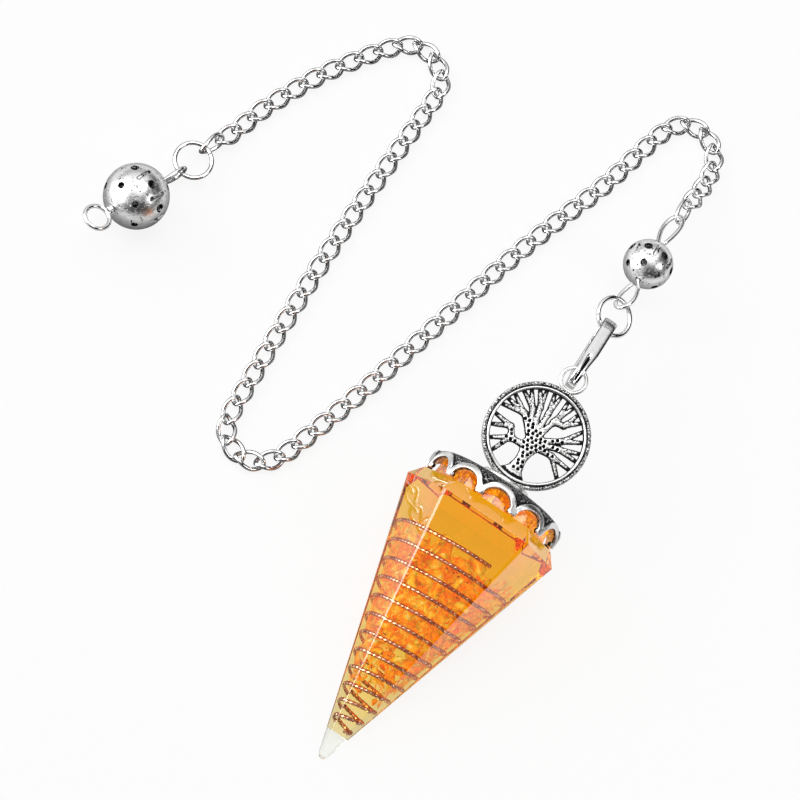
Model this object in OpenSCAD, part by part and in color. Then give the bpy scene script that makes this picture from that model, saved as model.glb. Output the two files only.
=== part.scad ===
// A pendulum pendant lying on a table: a six-sided resin point with a copper coil and stone chips
// cast inside, a petal cap, a tree charm, and a curb chain with two pierced beads.
// The parts from the tip to the small bead lie in one upright plane, at lie_heading from the X axis.

/* [Resin point] */
// Width across the side corners of the widest section
point_w = 20; // [16:0.5:24]
// Width of the front and back facets at the widest section
face_w = 11.2; // [10:0.2:12]
// Length from the widest section to the tip
point_l = 32.4; // [28:0.5:38]
// Width of the blunt tip across its corners
tip_w = 0.9; // [0.6:0.1:1.4]
// Height of the bevelled shoulder above the widest section
shoulder_h = 1.6; // [1.2:0.1:2.2]
// Inset of the shoulder's upper corners
shoulder_in = 1.3; // [1:0.1:1.8]
// Height of the rough cast crown above the shoulder, under the cap
crown_h = 2.1; // [1.6:0.1:2.2]
// Inset of the crown's corners from the shoulder's upper corners
crown_in = 1.2; // [0.9:0.1:1.8]

/* [Copper coil] */
// Wire diameter
coil_wire = 0.5; // [0.3:0.05:0.6]
// Number of turns
coil_turns = 12; // [6:0.5:12.5]
// Height of the lowest turn above the tip
coil_low = 4; // [4:0.1:6]
// Height of the highest turn above the tip
coil_high = 28.2; // [22:0.2:28.2]
// Resin between the coil and the facets
coil_cover = 0.35; // [0.3:0.05:0.8]
// How much the pitch opens towards the cap
coil_grow = 1.1; // [1:0.02:1.2]

/* [Stone chips] */
// Longest size of a chip
chip_l = 2.2; // [1.4:0.1:2.3]
// Clear distance kept round each chip
chip_gap = 0.15; // [0.12:0.02:0.4]
// Height of the lowest chip above the tip
chip_low = 8.5; // [8:0.5:11]
// Height of the highest layer of chips above the tip
chip_high = 26; // [18:0.5:26]

/* [Petal cap] */
// Number of petals
petals = 12; // [10:2:14]
// How far the petals' feet stand in from the shoulder's side corners
cap_inset = 0.1; // [0:0.05:0.4]
// How far the petals reach out beyond the widest section at the front and back
cap_reach = 0.23; // [0.1:0.01:0.28]
// Sheet thickness
cap_t = 0.4; // [0.3:0.05:0.5]
// Height of the cap's top above the shoulder
cap_h = 3.2; // [3:0.1:3.6]
// Height of each petal's arch above its feet
arch_h = 1.7; // [1.2:0.1:1.9]
// Width of the raised rim round each arch
rim_band = 0.7; // [0.3:0.05:0.8]
// How far that rim stands proud
rim_proud = 0.22; // [0.1:0.02:0.3]
// Diameter of the two small beads at each foot
foot_bead = 0.66; // [0.5:0.02:0.7]

/* [Tree charm] */
// Outer diameter of the charm
charm_d = 12.6; // [11:0.2:13]
// Width of the rim
charm_rim = 0.85; // [0.6:0.05:1.2]
// Thickness of the rim
charm_t = 1.5; // [1.1:0.1:1.8]
// Thickness of the tree inside the rim
tree_t = 1.1; // [0.8:0.1:1.4]
// Gap between the cap's top and the charm's flange
flange_gap = 0.1; // [0.05:0.05:0.3]
// Height of the flange between cap and charm
flange_h = 0.5; // [0.4:0.1:1]
// Diameter of that flange
flange_d = 6; // [5:0.2:6.4]
// Diameter of the post that runs down into the resin
post_d = 1.2; // [0.9:0.1:1.5]
// Length of the post below the flange
post_l = 4; // [3:0.2:5]
// Outer diameter of the loop on top of the charm
loop_d = 3.4; // [3.2:0.1:3.6]
// Wire of that loop
loop_wire = 0.48; // [0.4:0.02:0.5]

/* [Bail and jump rings] */
// Length of the bail link
bail_l = 10.7; // [10:0.1:11]
// Height of the bail link's opening and walls
bail_h = 4; // [3.8:0.1:4.4]
// Width of its band
bail_w = 1.6; // [1.4:0.1:1.7]
// Width of the band where it passes through the charm's loop
bail_neck = 1.1; // [0.9:0.1:1.4]
// Thickness of its band
bail_t = 0.6; // [0.5:0.05:0.65]
// Outer diameter of the jump ring next to the bail
ring_b_d = 5.1; // [5:0.05:5.3]
// Wire of that jump ring
ring_b_wire = 0.55; // [0.45:0.05:0.6]
// Outer diameter of the jump ring next to the large bead
ring_a_d = 4.9; // [4.7:0.05:5.1]
// Wire of that jump ring
ring_a_wire = 0.5; // [0.4:0.05:0.55]

/* [Beads and eye pins] */
// Diameter of the small bead
small_bead_d = 6; // [5:0.1:6.6]
// Diameter of the large bead
large_bead_d = 7.8; // [7:0.1:8.4]
// Wall of both beads
bead_wall = 0.4; // [0.3:0.05:0.6]
// Diameter of the round holes in the beads
bead_hole = 0.9; // [0.6:0.05:1]
// Wire of the eye pins
pin_wire = 0.5; // [0.4:0.02:0.52]
// Clearance between a pin and its bead
pin_gap = 0.15; // [0.1:0.05:0.3]
// Outer width of the teardrop eyes
eye_w = 2.8; // [2.75:0.05:3]
// Length of the eye towards the bail, from the bead's surface
eye_b1_l = 5.4; // [5.2:0.1:5.8]
// Length of the eye towards the chain, from the small bead's surface
eye_b2_l = 6.4; // [6.2:0.1:6.8]
// Length of the eye towards the chain, from the large bead's surface
eye_a_l = 4.2; // [4:0.1:4.4]
// Outer diameter of the end loop
end_loop_d = 3.5; // [3:0.1:4]
// Length of the wrapped collar between the end loop and the bead
collar_l = 0.7; // [0.5:0.1:1.2]

/* [Chain] */
// Pitch of the links before it is evened out over the route
chain_pitch = 2.6; // [2.5:0.05:2.7]
// Wire of the links
chain_wire = 0.4; // [0.36:0.02:0.42]
// Width of the links
link_w = 2.38; // [2.36:0.02:2.44]
// Play between neighbouring links
link_play = 0.44; // [0.42:0.02:0.48]
// Twist of each end of a link out of its middle plane
link_twist = 50; // [48:1:52]

/* [Hidden] */

$fn = 40;
// Small overlap that makes soldered metal one solid
solder = 0.08;
// Clearance round what is cast into the resin
cast_gap = 0.06;
// Clearance between pieces that rest on each other
seat_gap = 0.08;

// Heading of the upright plane that the pendant lies in
lie_heading = 55.9;
// Distance on the back facet from its widest edge to the origin
rest_point = 12.66;

// Resin point, upright in its own frame: girdle at z 0, tip down, front towards -y
girdle_d = (point_w - face_w) / 2 * tan(60);
tip_k = tip_w / point_w;
tip_bevel = tip_w / 3;
lean = atan(girdle_d * (1 - tip_k) / point_l);
shoulder_k = 1 - shoulder_in / (point_w / 2);
crown_k = shoulder_k - crown_in / (point_w / 2);
crown_top = shoulder_h + crown_h;
function section_k(h) = tip_k + (1 - tip_k) * h / point_l;

// Copper coil
coil_sides = 5;
coil_steps = 12;
function coil_radius(h) = girdle_d * section_k(h) - coil_cover - coil_wire / 2;
// The turns are oval: across, they come just as near to the slanted facets, which stand at 60 degrees
function coil_across(h) =
    let (reach = point_w / 2 * section_k(h) * cos(30) - coil_cover - coil_wire / 2)
    sqrt(pow(reach, 2) - pow(coil_radius(h) * sin(30), 2)) / cos(30);

// Stone chips
chip_pitch = chip_l + 2 * chip_gap;
chip_layers = floor((chip_high - chip_low) / chip_pitch);
chip_turn = 23;

// Petal cap
cap_w = point_w - 2 * shoulder_in - 2 * cap_inset;
cap_d = 2 * girdle_d + 2 * cap_reach;
cap_base = shoulder_h + seat_gap;
cap_hole = post_d / 2 + seat_gap;
cap_bend = 4.5;
cap_rows = [0, 0.45, 0.75, 1];
foot_share = 0.8;
petal_steps = [-1, -foot_share, -0.62, -0.32, 0, 0.32, 0.62, foot_share];

// Tree charm
flange_z = cap_base + cap_h + flange_gap;
// How deep the charm's rim is sunk into the flange, and the loop into the rim
charm_sink = 0.12;
loop_sink = 0.22;
charm_z = flange_z + flange_h + charm_d / 2 - charm_sink;
loop_z = charm_z + charm_d / 2 + loop_d / 2 - loop_sink;
tree_r = charm_d / 2 - charm_rim;
// Round of the tree's inner corners
bark_round = 0.06;
bark_pit = 0.32;
pit_depth = 0.3;

// Limbs as shares of the tree's radius: root x, root y, fork x, fork y, first and last twig angle, twigs
LIMBS = [
    [-0.08, -0.30, -0.45, -0.33, 232, 215, 2],
    [-0.42, -0.32, -0.56, -0.12, 199, 184, 2],
    [-0.14, -0.06, -0.47,  0.26, 171, 150, 3],
    [-0.20,  0.04, -0.38,  0.44, 139, 129, 2],
    [-0.12,  0.02, -0.26,  0.54, 119, 110, 2],
    [-0.04,  0.00, -0.05,  0.52, 100,  91, 2],
    [ 0.02, -0.02,  0.17,  0.54,  81,  71, 2],
    [ 0.14,  0.46,  0.36,  0.50,  61,  50, 2],
    [ 0.06, -0.08,  0.50,  0.20,  40,  26, 2],
    [ 0.10, -0.14,  0.53,  0.03,  12,   1, 2],
    [ 0.08, -0.22,  0.50, -0.17, -12, -31, 2]];
limb_w = 0.15;
fork_w = 0.11;
twig_w = 0.08;
// Trunk outline as shares of the tree's radius: half width, height
TRUNK = [[0.30, -0.97], [0.15, -0.80], [0.11, -0.60], [0.13, -0.42], [0.19, -0.25], [0.16, -0.05], [0.06, 0.06]];

// String of small parts beyond the charm, in the upright plane: distance along it and height
loop_at = [rest_point - girdle_d * sin(lean) + loop_z * cos(lean), girdle_d * cos(lean) + loop_z * sin(lean)];
bail_slope = 16;
bail_at = loop_at + [-0.75, 0.2];
ring_b_slope = 6;
ring_b_roll = 22;
ring_b_r = (ring_b_d - ring_b_wire) / 2;
// How far a ring's inside bows away from a straight edge of a given width
function bow(r, w) = r - sqrt(r * r - w * w / 4);
ring_b_seat = bail_t + ring_b_wire / 2 + bow(ring_b_r - ring_b_wire / 2, bail_w) + 3 * seat_gap;
ring_b_near = bail_at + (bail_l - ring_b_seat) * [cos(bail_slope), -sin(bail_slope)];
ring_b_at = ring_b_near + ring_b_r * [cos(ring_b_slope), -sin(ring_b_slope)];
ring_b_far = ring_b_at + ring_b_r * [cos(ring_b_slope), -sin(ring_b_slope)];
// Overlap of the centre lines where an eye and a ring hang in each other
hook = 0.84;
pin_b_slope = 18;
pin_b_turn = -0.4;
eye_b1_roll = -46;
eye_b2_roll = -42;
eye_b1_at = ring_b_far - hook * [cos(ring_b_slope), -sin(ring_b_slope)];
function upright(p) = [p[0] * cos(lie_heading), p[0] * sin(lie_heading), p[1]];
function aim(heading, slope) = [cos(heading) * cos(slope), sin(heading) * cos(slope), -sin(slope)];
pin_b_dir = aim(lie_heading + pin_b_turn, pin_b_slope);
small_bead_at = upright(eye_b1_at) + (small_bead_d / 2 + eye_b1_l - pin_wire / 2) * pin_b_dir;

// Holder's end: the large bead rests on the table and its pin slopes down into a level jump ring
large_bead_xy = [-32.5, 48];
pin_a_heading = 36.5;
eye_a_roll = 90;
ring_a_z = 1.5;
ring_a_heading = 46;
ring_a_r = (ring_a_d - ring_a_wire) / 2;
ring_a_reach = large_bead_d / 2 + eye_a_l - pin_wire - ring_a_wire / 2 - seat_gap;
pin_a_slope = asin((large_bead_d / 2 - ring_a_z) / ring_a_reach);
large_bead_at = [large_bead_xy[0], large_bead_xy[1], large_bead_d / 2];
pin_a_dir = aim(pin_a_heading, pin_a_slope);
ring_a_at = large_bead_at + ring_a_reach * pin_a_dir + ring_a_r * [cos(ring_a_heading), sin(ring_a_heading), 0];
end_loop_r = (end_loop_d - pin_wire) / 2;
end_loop_x = -(large_bead_d / 2 + collar_l + end_loop_r + pin_wire / 2 - solder);

// Chain
link_sides = 5;
link_steps = 12;
link_a = (chain_pitch + chain_wire + link_play) / 2;
link_b = (link_w - chain_wire) / 2;
end_hook = (ring_a_wire + chain_wire) / 2 + link_play / 2;
// Length that the track gains for each radian of a bend, so that the links move closer together there
bend_slack = 0.34;
chain_z = 0.66;
first_roll = 67;
first_twist = -22;
first_dir = aim(38, 10);
last_roll = -45;
last_dir = -aim(lie_heading, 12);
// Where on the eye, as a share of its wire from the neck, the last link hangs
last_hook = 0.52;
first_link_at = ring_a_at + (ring_a_r - end_hook) * aim(54, 0) + link_a * first_dir;
last_eye = eye_point(last_hook, eye_b2_l - pin_wire / 2);
pin_b_left = [-sin(lie_heading + pin_b_turn), cos(lie_heading + pin_b_turn), 0];
last_link_at = small_bead_at + (small_bead_d / 2 + last_eye[0]) * pin_b_dir
               + last_eye[1] * (cos(eye_b2_roll) * pin_b_left + sin(eye_b2_roll) * cross(pin_b_dir, pin_b_left))
               - (link_a - end_hook - seat_gap) * last_dir;
// Middle points of the chain as it lies: x, y, height
ROUTE = [
    [-20.5, 57.7, chain_z], [-16.7, 61.0, chain_z], [-10.5, 65.2, chain_z], [-5.6, 67.7, chain_z],
    [-2.8, 68.9, chain_z], [-0.9, 69.6, chain_z], [1.2, 70.0, chain_z], [3.2, 69.3, chain_z],
    [4.5, 67.6, chain_z], [4.9, 65.6, chain_z], [4.2, 63.6, chain_z], [1.8, 60.0, chain_z],
    [-4.2, 51.2, chain_z], [-9.8, 42.6, chain_z], [-15.6, 33.0, chain_z], [-19.4, 26.4, chain_z],
    [-21.1, 23.4, chain_z], [-21.8, 21.4, chain_z], [-21.5, 19.5, chain_z], [-20.3, 18.0, chain_z],
    [-18.4, 17.3, chain_z], [-16.5, 17.6, chain_z], [-14.6, 18.7, chain_z], [-12.4, 20.5, chain_z],
    [-6.4, 25.6, chain_z], [0.5, 31.9, chain_z], [6.4, 37.4, chain_z], [12.0, 42.6, chain_z],
    [18.0, 47.7, chain_z], [24.5, 52.9, chain_z], [30.2, 58.3, chain_z], [32.7, 60.4, chain_z],
    [34.5, 61.2, chain_z], [36.4, 61.0, chain_z], [37.9, 59.7, chain_z], [38.6, 58.0, 0.7],
    [38.3, 55.9, 0.85], [37.2, 53.6, 1.5], [35.3, 51.1, 2.5]];

// Vectors, rings of points and tubes
function unit(v) = v / norm(v);
function ring(p, dir, side, r, n) =
    let (e = unit(side - dir * (side * dir)), f = cross(dir, e))
    [for (k = [0 : n - 1]) p + r * (cos(360 * k / n) * e + sin(360 * k / n) * f)];
function wall_faces(rings, n, first = 0, closed = false) =
    [for (i = [0 : rings - (closed ? 1 : 2)], k = [0 : n - 1])
        let (j = (i + 1) % rings, m = (k + 1) % n)
        [first + i * n + k, first + j * n + k, first + j * n + m, first + i * n + m]];
function end_faces(rings, n, first = 0) =
    [[for (k = [0 : n - 1]) first + k], [for (k = [n - 1 : -1 : 0]) first + (rings - 1) * n + k]];
function flat(lists) = [for (l = lists) each l];
function tangent(path, i) = unit(path[min(i + 1, len(path) - 1)] - path[max(i - 1, 0)]);

module stack(rings) {
    n = len(rings[0]);
    polyhedron(flat(rings), concat(wall_faces(len(rings), n), end_faces(len(rings), n)));
}

// Open tube along a path; sides are vectors square to the path, or absent for the coil's radial ones
module tube(path, wire, n, sides) {
    stack([for (i = [0 : len(path) - 1])
        ring(path[i], tangent(path, i), is_undef(sides) ? [path[i][0], path[i][1], 0] : sides[i], wire / 2, n)]);
}

module torus(r, wire) {
    rotate_extrude() translate([r, 0]) circle(d = wire);
}

// Lays the upright pendant on its back facet, with its origin on the table
module lay() {
    rotate([0, 0, lie_heading]) translate([rest_point, 0, 0]) rotate([0, 90 - lean, 0])
        rotate([0, 0, -90]) translate([0, -girdle_d, 0]) children();
}

// Puts a child whose length runs along x at a point, turned to a heading, sloped down and rolled
module place(at, heading, slope, roll = 0) {
    translate(at) rotate([0, 0, heading]) rotate([0, slope, 0]) rotate([roll, 0, 0]) children();
}

function hexagon(k, z) =
    [for (c = [[point_w, 0], [face_w, girdle_d * 2], [-face_w, girdle_d * 2],
               [-point_w, 0], [-face_w, -girdle_d * 2], [face_w, -girdle_d * 2]])
        [c[0] / 2 * k, c[1] / 2 * k, z]];

module point_body() {
    stack([hexagon(tip_k * 0.45, -point_l), hexagon(tip_k, -point_l + tip_bevel), hexagon(1, 0),
           hexagon(shoulder_k, shoulder_h), hexagon(crown_k, shoulder_h + 0.02), hexagon(crown_k * 0.96, crown_top)]);
}

function coil_point(f) =
    let (h = coil_low + (coil_high - coil_low) * pow(max(f, 0), coil_grow), a = 360 * coil_turns * f - 60)
    [coil_across(h) * cos(a), coil_radius(h) * sin(a), h - point_l];

// The coil, or the space cast round it when grow is above 0
module coil(grow = 0) {
    n = round(coil_turns * coil_steps);
    path = [for (i = [0 : n]) coil_point(i / n)];
    spare = 0.3 / n;
    tube(grow > 0 ? concat([coil_point(-spare)], path, [coil_point(1 + spare)]) : path,
         coil_wire + 2 * grow, coil_sides);
}

// A chip is a bent block of eight corners that fits in a ball of its length
CHIP = [[-1, -0.7, -0.5], [1, -0.6, -0.45], [0.8, 0.75, -0.6], [-0.9, 0.6, -0.55],
        [-0.7, -0.6, 0.6], [0.75, -0.8, 0.5], [0.9, 0.6, 0.65], [-0.8, 0.75, 0.5]];
CHIP_FACES = [[0, 1, 2], [0, 2, 3], [4, 6, 5], [4, 7, 6], [0, 4, 5], [0, 5, 1],
              [1, 5, 6], [1, 6, 2], [2, 6, 7], [2, 7, 3], [3, 7, 4], [3, 4, 0]];
function spun(v, a, b) =
    let (p = [v[0] * cos(a) - v[1] * sin(a), v[0] * sin(a) + v[1] * cos(a), v[2]])
    [p[0], p[1] * cos(b) - p[2] * sin(b), p[1] * sin(b) + p[2] * cos(b)];
function chips_in(layer) =
    let (h = chip_low + layer * chip_pitch,
         room = coil_radius(h) - coil_wire / 2 - chip_l / 2 - chip_gap)
    [for (j = [0 : max(0, floor(room / chip_pitch))])
        let (count = j == 0 ? 1 : floor(360 / (2 * asin(0.5 / j))))
        for (k = [0 : count - 1])
            let (a = 360 * k / count + chip_turn * layer)
            [j * chip_pitch * cos(a), j * chip_pitch * sin(a), h - point_l, 47 * layer + 71 * k, 61 * layer + 37 * k]];
CHIPS = flat([for (layer = [0 : chip_layers]) chips_in(layer)]);
module chips(grow = 0) {
    size = chip_l / 2 + grow;
    polyhedron(
        flat([for (c = CHIPS) [for (v = CHIP)
            [c[0], c[1], c[2]] + size * unit(spun(v, c[3], c[4])) * (0.8 + 0.2 * abs(v[1]))]]),
        flat([for (i = [0 : len(CHIPS) - 1]) [for (f = CHIP_FACES) f + 8 * i * [1, 1, 1]]]));
}

module resin_point() color("orange") lay() difference() {
    point_body();
    coil(cast_gap);
    chips(cast_gap);
    translate([0, 0, flange_z - post_l - seat_gap]) cylinder(d = post_d + 2 * cast_gap, h = post_l);
}

module copper_coil() color("sienna") lay() coil();

module stone_chips() color("goldenrod") lay() chips();

// Cap profile: s runs from 0 at the crown's middle to 90 at the foot
function cap_edge(phase) =
    let (rise = abs(phase) >= foot_share ? 0 : arch_h * sqrt(1 - pow(phase / foot_share, 2)))
    acos(pow(rise / cap_h, cap_bend / 2));
function cap_out(s, a, off) =
    let (r = pow(sin(s), 2 / cap_bend), z = pow(cos(s), 2 / cap_bend),
         nr = pow(r, cap_bend - 1) / (cap_w / 2), nz = pow(z, cap_bend - 1) / cap_h, n = norm([nr, nz]))
    [cos(a) * (r * cap_w / 2 + off * nr / n), sin(a) * (r * cap_d / 2 + off * nr / n),
     cap_base + z * cap_h + off * nz / n];
function cap_section(a, phase) =
    let (edge = cap_edge(phase), start = asin(pow(cap_hole / (cap_w / 2), cap_bend / 2)),
         band = rim_band / cap_h * 60,
         s = concat([for (f = cap_rows) start + (edge - band - start) * f], [edge]))
    concat([for (i = [0 : len(s) - 1]) cap_out(s[i], a, i > 2 ? rim_proud : 0)],
           [for (i = [len(s) - 1 : -1 : 0]) cap_out(s[i], a, -cap_t)]);
module petal_cap() color("silver") lay() {
    sections = [for (p = [0 : petals - 1], phase = petal_steps)
        cap_section(270 + 360 * (p + phase / 2) / petals, phase)];
    n = len(sections[0]);
    union() {
        polyhedron(flat(sections), wall_faces(len(sections), n, 0, true));
        for (p = [0 : petals - 1], side = [-1, 1]) {
            a = 270 + 360 * (p + 0.5) / petals + side * atan(foot_bead * 0.48 / (cap_w / 2));
            translate([cos(a) * (cap_w / 2 - cap_t / 2), sin(a) * (cap_d / 2 - cap_t / 2), cap_base + foot_bead / 2])
                sphere(d = foot_bead, $fn = 16);
        }
    }
}

function toward(p, q, wp, wq) =
    let (d = unit(q - p), s = [-d[1], d[0]])
    [p + s * wp / 2, q + s * wq / 2, q - s * wq / 2, p - s * wp / 2];
module stroke(p, q, wp, wq) {
    polygon(toward(p, q, wp, wq));
    translate(q) circle(d = wq, $fn = 12);
}
module limb(row) {
    root = [row[0], row[1]];
    fork = [row[2], row[3]];
    stroke(root, fork, limb_w, fork_w);
    for (k = [0 : row[6] - 1]) {
        a = row[4] + (row[5] - row[4]) * k / (row[6] - 1);
        stroke(fork, [cos(a), sin(a)], fork_w, twig_w);
    }
}
module tree_outline() {
    offset(r = bark_round, $fn = 12) offset(delta = -bark_round) union() {
        scale(tree_r) {
            polygon(concat([for (p = TRUNK) p], [for (i = [len(TRUNK) - 1 : -1 : 0]) [-TRUNK[i][0], TRUNK[i][1]]]));
            for (row = LIMBS) limb(row);
        }
        difference() {
            circle(r = tree_r + charm_rim / 3, $fn = 72);
            circle(r = tree_r, $fn = 72);
        }
    }
}
module tree_charm() color("silver") lay() difference() {
    union() {
        translate([0, tree_t / 2, charm_z]) rotate([90, 0, 0]) linear_extrude(tree_t) tree_outline();
        translate([0, charm_t / 2, charm_z]) rotate([90, 0, 0]) difference() {
            cylinder(d = charm_d, h = charm_t);
            translate([0, 0, -charm_t / 2]) cylinder(r = tree_r + charm_rim / 6, h = 2 * charm_t);
        }
        translate([0, 0, loop_z]) rotate([90, 0, 0]) torus((loop_d - loop_wire) / 2, loop_wire);
        translate([0, 0, flange_z]) cylinder(d = flange_d, h = flange_h);
        translate([0, 0, flange_z - post_l]) cylinder(d = post_d, h = post_l + flange_h / 2);
    }
    for (i = [0 : 4], side = [-1, 1])
        translate([side * (0.045 + 0.012 * i) * tree_r, -tree_t, charm_z + (-0.22 - 0.13 * i) * tree_r])
            rotate([-90, 0, 0]) cylinder(d = bark_pit, h = tree_t / 2 + pit_depth);
}

module bail_link() color("silver") place(upright(bail_at), lie_heading, bail_slope) {
    end_r = bail_h / 2;
    intersection() {
        rotate([90, 0, 0]) translate([0, 0, -bail_w / 2]) linear_extrude(bail_w) difference() {
            union() {
                translate([end_r, 0]) circle(r = end_r);
                translate([bail_l - end_r, 0]) circle(r = end_r);
                translate([end_r, -end_r]) square([bail_l - bail_h, bail_h]);
            }
            translate([end_r, 0]) circle(r = end_r - bail_t);
            translate([bail_l - end_r, 0]) circle(r = end_r - bail_t);
            translate([end_r, bail_t - end_r]) square([bail_l - bail_h, bail_h - 2 * bail_t]);
        }
        translate([0, 0, -bail_h]) linear_extrude(2 * bail_h) polygon([
            [-1, -bail_neck / 2], [end_r * 0.6, -bail_neck / 2], [bail_l * 0.4, -bail_w / 2], [bail_l + 1, -bail_w / 2],
            [bail_l + 1, bail_w / 2], [bail_l * 0.4, bail_w / 2], [end_r * 0.6, bail_neck / 2], [-1, bail_neck / 2]]);
    }
}

module jump_ring_pendant() color("silver")
    place(upright(ring_b_at), lie_heading, ring_b_slope, ring_b_roll) torus(ring_b_r, ring_b_wire);

module jump_ring_holder() color("silver") translate(ring_a_at) torus(ring_a_r, ring_a_wire);

// Teardrop eye of bent wire from its neck at x 0: the closing end stops just short of the neck
eye_steps = 14;
eye_open = 0.88;
function eye_point(f, l) =
    let (a = 360 * f)
    [l * (1 - cos(a)) / 2, (eye_w - pin_wire) / 2 / 0.77 * sin(a) * sin(a / 2), 0];
function eye(l) = [for (i = [1 : eye_steps]) eye_point(eye_open * i / eye_steps, l)];
function turned(path) = [for (i = [len(path) - 1 : -1 : 0]) [-path[i][0], -path[i][1], 0]];
// Moves an eye along x and rolls it; its side vectors come from the same roll
function seated(path, x, roll) = [for (p = path) [p[0] + x, p[1] * cos(roll), p[1] * sin(roll)]];
function rolled(n, roll) = [for (i = [1 : n]) [0, -sin(roll), cos(roll)]];

// Hollow bead, bored along x, with round holes that point to its middle
module pierced_bead(d, bore) {
    module drill(turn, tip, hole) {
        rotate([turn, 0, 0]) rotate([0, tip, 0]) translate([0, 0, d / 2 - 2 * bead_wall])
            cylinder(d = hole, h = 3 * bead_wall);
    }
    difference() {
        rotate([0, 90, 0]) rotate_extrude() intersection() {
            difference() {
                circle(d = d);
                circle(d = d - 2 * bead_wall);
            }
            translate([bore / 2, -d]) square([d, 2 * d]);
        }
        for (k = [0 : 7]) drill(45 * k, 0, bead_hole);
        for (k = [0 : 5], side = [-1, 1]) drill(60 * k + 22, 43 * side, bead_hole * 0.8);
    }
}

module small_bead() color("silver") place(small_bead_at, lie_heading + pin_b_turn, pin_b_slope, 20)
    pierced_bead(small_bead_d, pin_wire + 2 * pin_gap);

module small_bead_pin() color("silver")
    place(small_bead_at, lie_heading + pin_b_turn, pin_b_slope) {
        r = small_bead_d / 2;
        tube(concat(seated(turned(eye(eye_b1_l - pin_wire / 2)), -r, eye_b1_roll), [[-r, 0, 0], [r, 0, 0]],
                    seated(eye(eye_b2_l - pin_wire / 2), r, eye_b2_roll)), pin_wire, 8,
             concat(rolled(eye_steps + 1, eye_b1_roll), rolled(eye_steps + 1, eye_b2_roll)));
    }

module large_bead() color("silver") place(large_bead_at, pin_a_heading, pin_a_slope, 10)
    pierced_bead(large_bead_d, pin_wire + 2 * pin_gap);

module large_bead_pin() color("silver") place(large_bead_at, pin_a_heading, pin_a_slope) {
    r = large_bead_d / 2;
    union() {
        tube(concat([[-r - collar_l / 2, 0, 0], [r, 0, 0]], seated(eye(eye_a_l - pin_wire / 2), r, eye_a_roll)),
             pin_wire, 8, rolled(eye_steps + 2, eye_a_roll));
        translate([-r - seat_gap, 0, 0]) rotate([0, -90, 0]) cylinder(d = 2.4 * pin_wire, h = collar_l - seat_gap);
        translate([end_loop_x, 0, 0]) torus(end_loop_r, pin_wire);
    }
}

// Chain: a smooth curve through the route, cut into equal lengths, with one curb link at each cut
KNOTS = concat([first_link_at], ROUTE, [last_link_at]);
function knot(i) = KNOTS[max(0, min(i, len(KNOTS) - 1))];
function curve(i, t) =
    let (a = knot(i - 1), b = knot(i), c = knot(i + 1), d = knot(i + 2))
    0.5 * (2 * b + (c - a) * t + (2 * a - 5 * b + 4 * c - d) * t * t + (3 * b - a - 3 * c + d) * t * t * t);
curve_steps = 8;
TRACK = concat([for (i = [0 : len(KNOTS) - 2], k = [0 : curve_steps - 1]) curve(i, k / curve_steps)], [last_link_at]);
function gain(i) =
    let (step = TRACK[i + 1] - TRACK[i], back = i > 0 ? TRACK[i] - TRACK[i - 1] : step,
         bend = acos(min(1, step * back / norm(step) / norm(back))))
    norm(step) + bend_slack * bend * PI / 180;
GAINS = [for (i = [0 : len(TRACK) - 2]) gain(i)];
REACH = [for (i = 0, sum = 0; i < len(TRACK); sum = sum + (i < len(GAINS) ? GAINS[i] : 0), i = i + 1) sum];
links = round(REACH[len(REACH) - 1] / chain_pitch) + 1;
function seat(s, i = 0) = i >= len(REACH) - 2 || REACH[i + 1] >= s ? i : seat(s, i + 1);
function at_length(s) =
    let (i = seat(s), f = (s - REACH[i]) / (REACH[i + 1] - REACH[i])) TRACK[i] + (TRACK[i + 1] - TRACK[i]) * f;
function link_middle(k) = at_length(REACH[len(REACH) - 1] * k / (links - 1));
function link_dir(k) = k == 0 ? first_dir : k == links - 1 ? last_dir : unit(link_middle(k + 1) - link_middle(k - 1));
function link_point(t, twist, roll) =
    let (g = roll + twist * cos(t)) [link_a * cos(t), link_b * sin(t) * cos(g), link_b * sin(t) * sin(g)];
function link_points(k) =
    let (dir = link_dir(k), left = unit([-dir[1], dir[0], 0]), up = cross(dir, left), mid = link_middle(k),
         last = k == links - 1, twist = k == 0 ? first_twist : last ? 0 : link_twist,
         roll = k == 0 ? first_roll : last ? last_roll : 0,
         path = [for (i = [0 : link_steps - 1])
             let (p = link_point(360 * i / link_steps, twist, roll)) mid + p[0] * dir + p[1] * left + p[2] * up])
    flat([for (i = [0 : link_steps - 1])
        ring(path[i], unit(path[(i + 1) % link_steps] - path[(i + link_steps - 1) % link_steps]),
             path[i] - mid, chain_wire / 2, link_sides)]);
module curb_chain() color("silver") polyhedron(
    flat([for (k = [0 : links - 1]) link_points(k)]),
    flat([for (k = [0 : links - 1]) wall_faces(link_steps, link_sides, k * link_steps * link_sides, true)]));

resin_point();
copper_coil();
stone_chips();
petal_cap();
tree_charm();
bail_link();
jump_ring_pendant();
small_bead();
small_bead_pin();
curb_chain();
jump_ring_holder();
large_bead();
large_bead_pin();
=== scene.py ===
"""A pendulum pendant lying on a pale table: a six-sided amber resin point with a copper coil and
stone chips inside, a petal cap, a tree charm, and a curb chain with two pierced beads.

Sizes are in millimetres and turned to metres where a mesh is made. X is right, Y up in the picture.
"""

import math

import bpy
import numpy as np
from mathutils import Matrix, Vector


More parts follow.
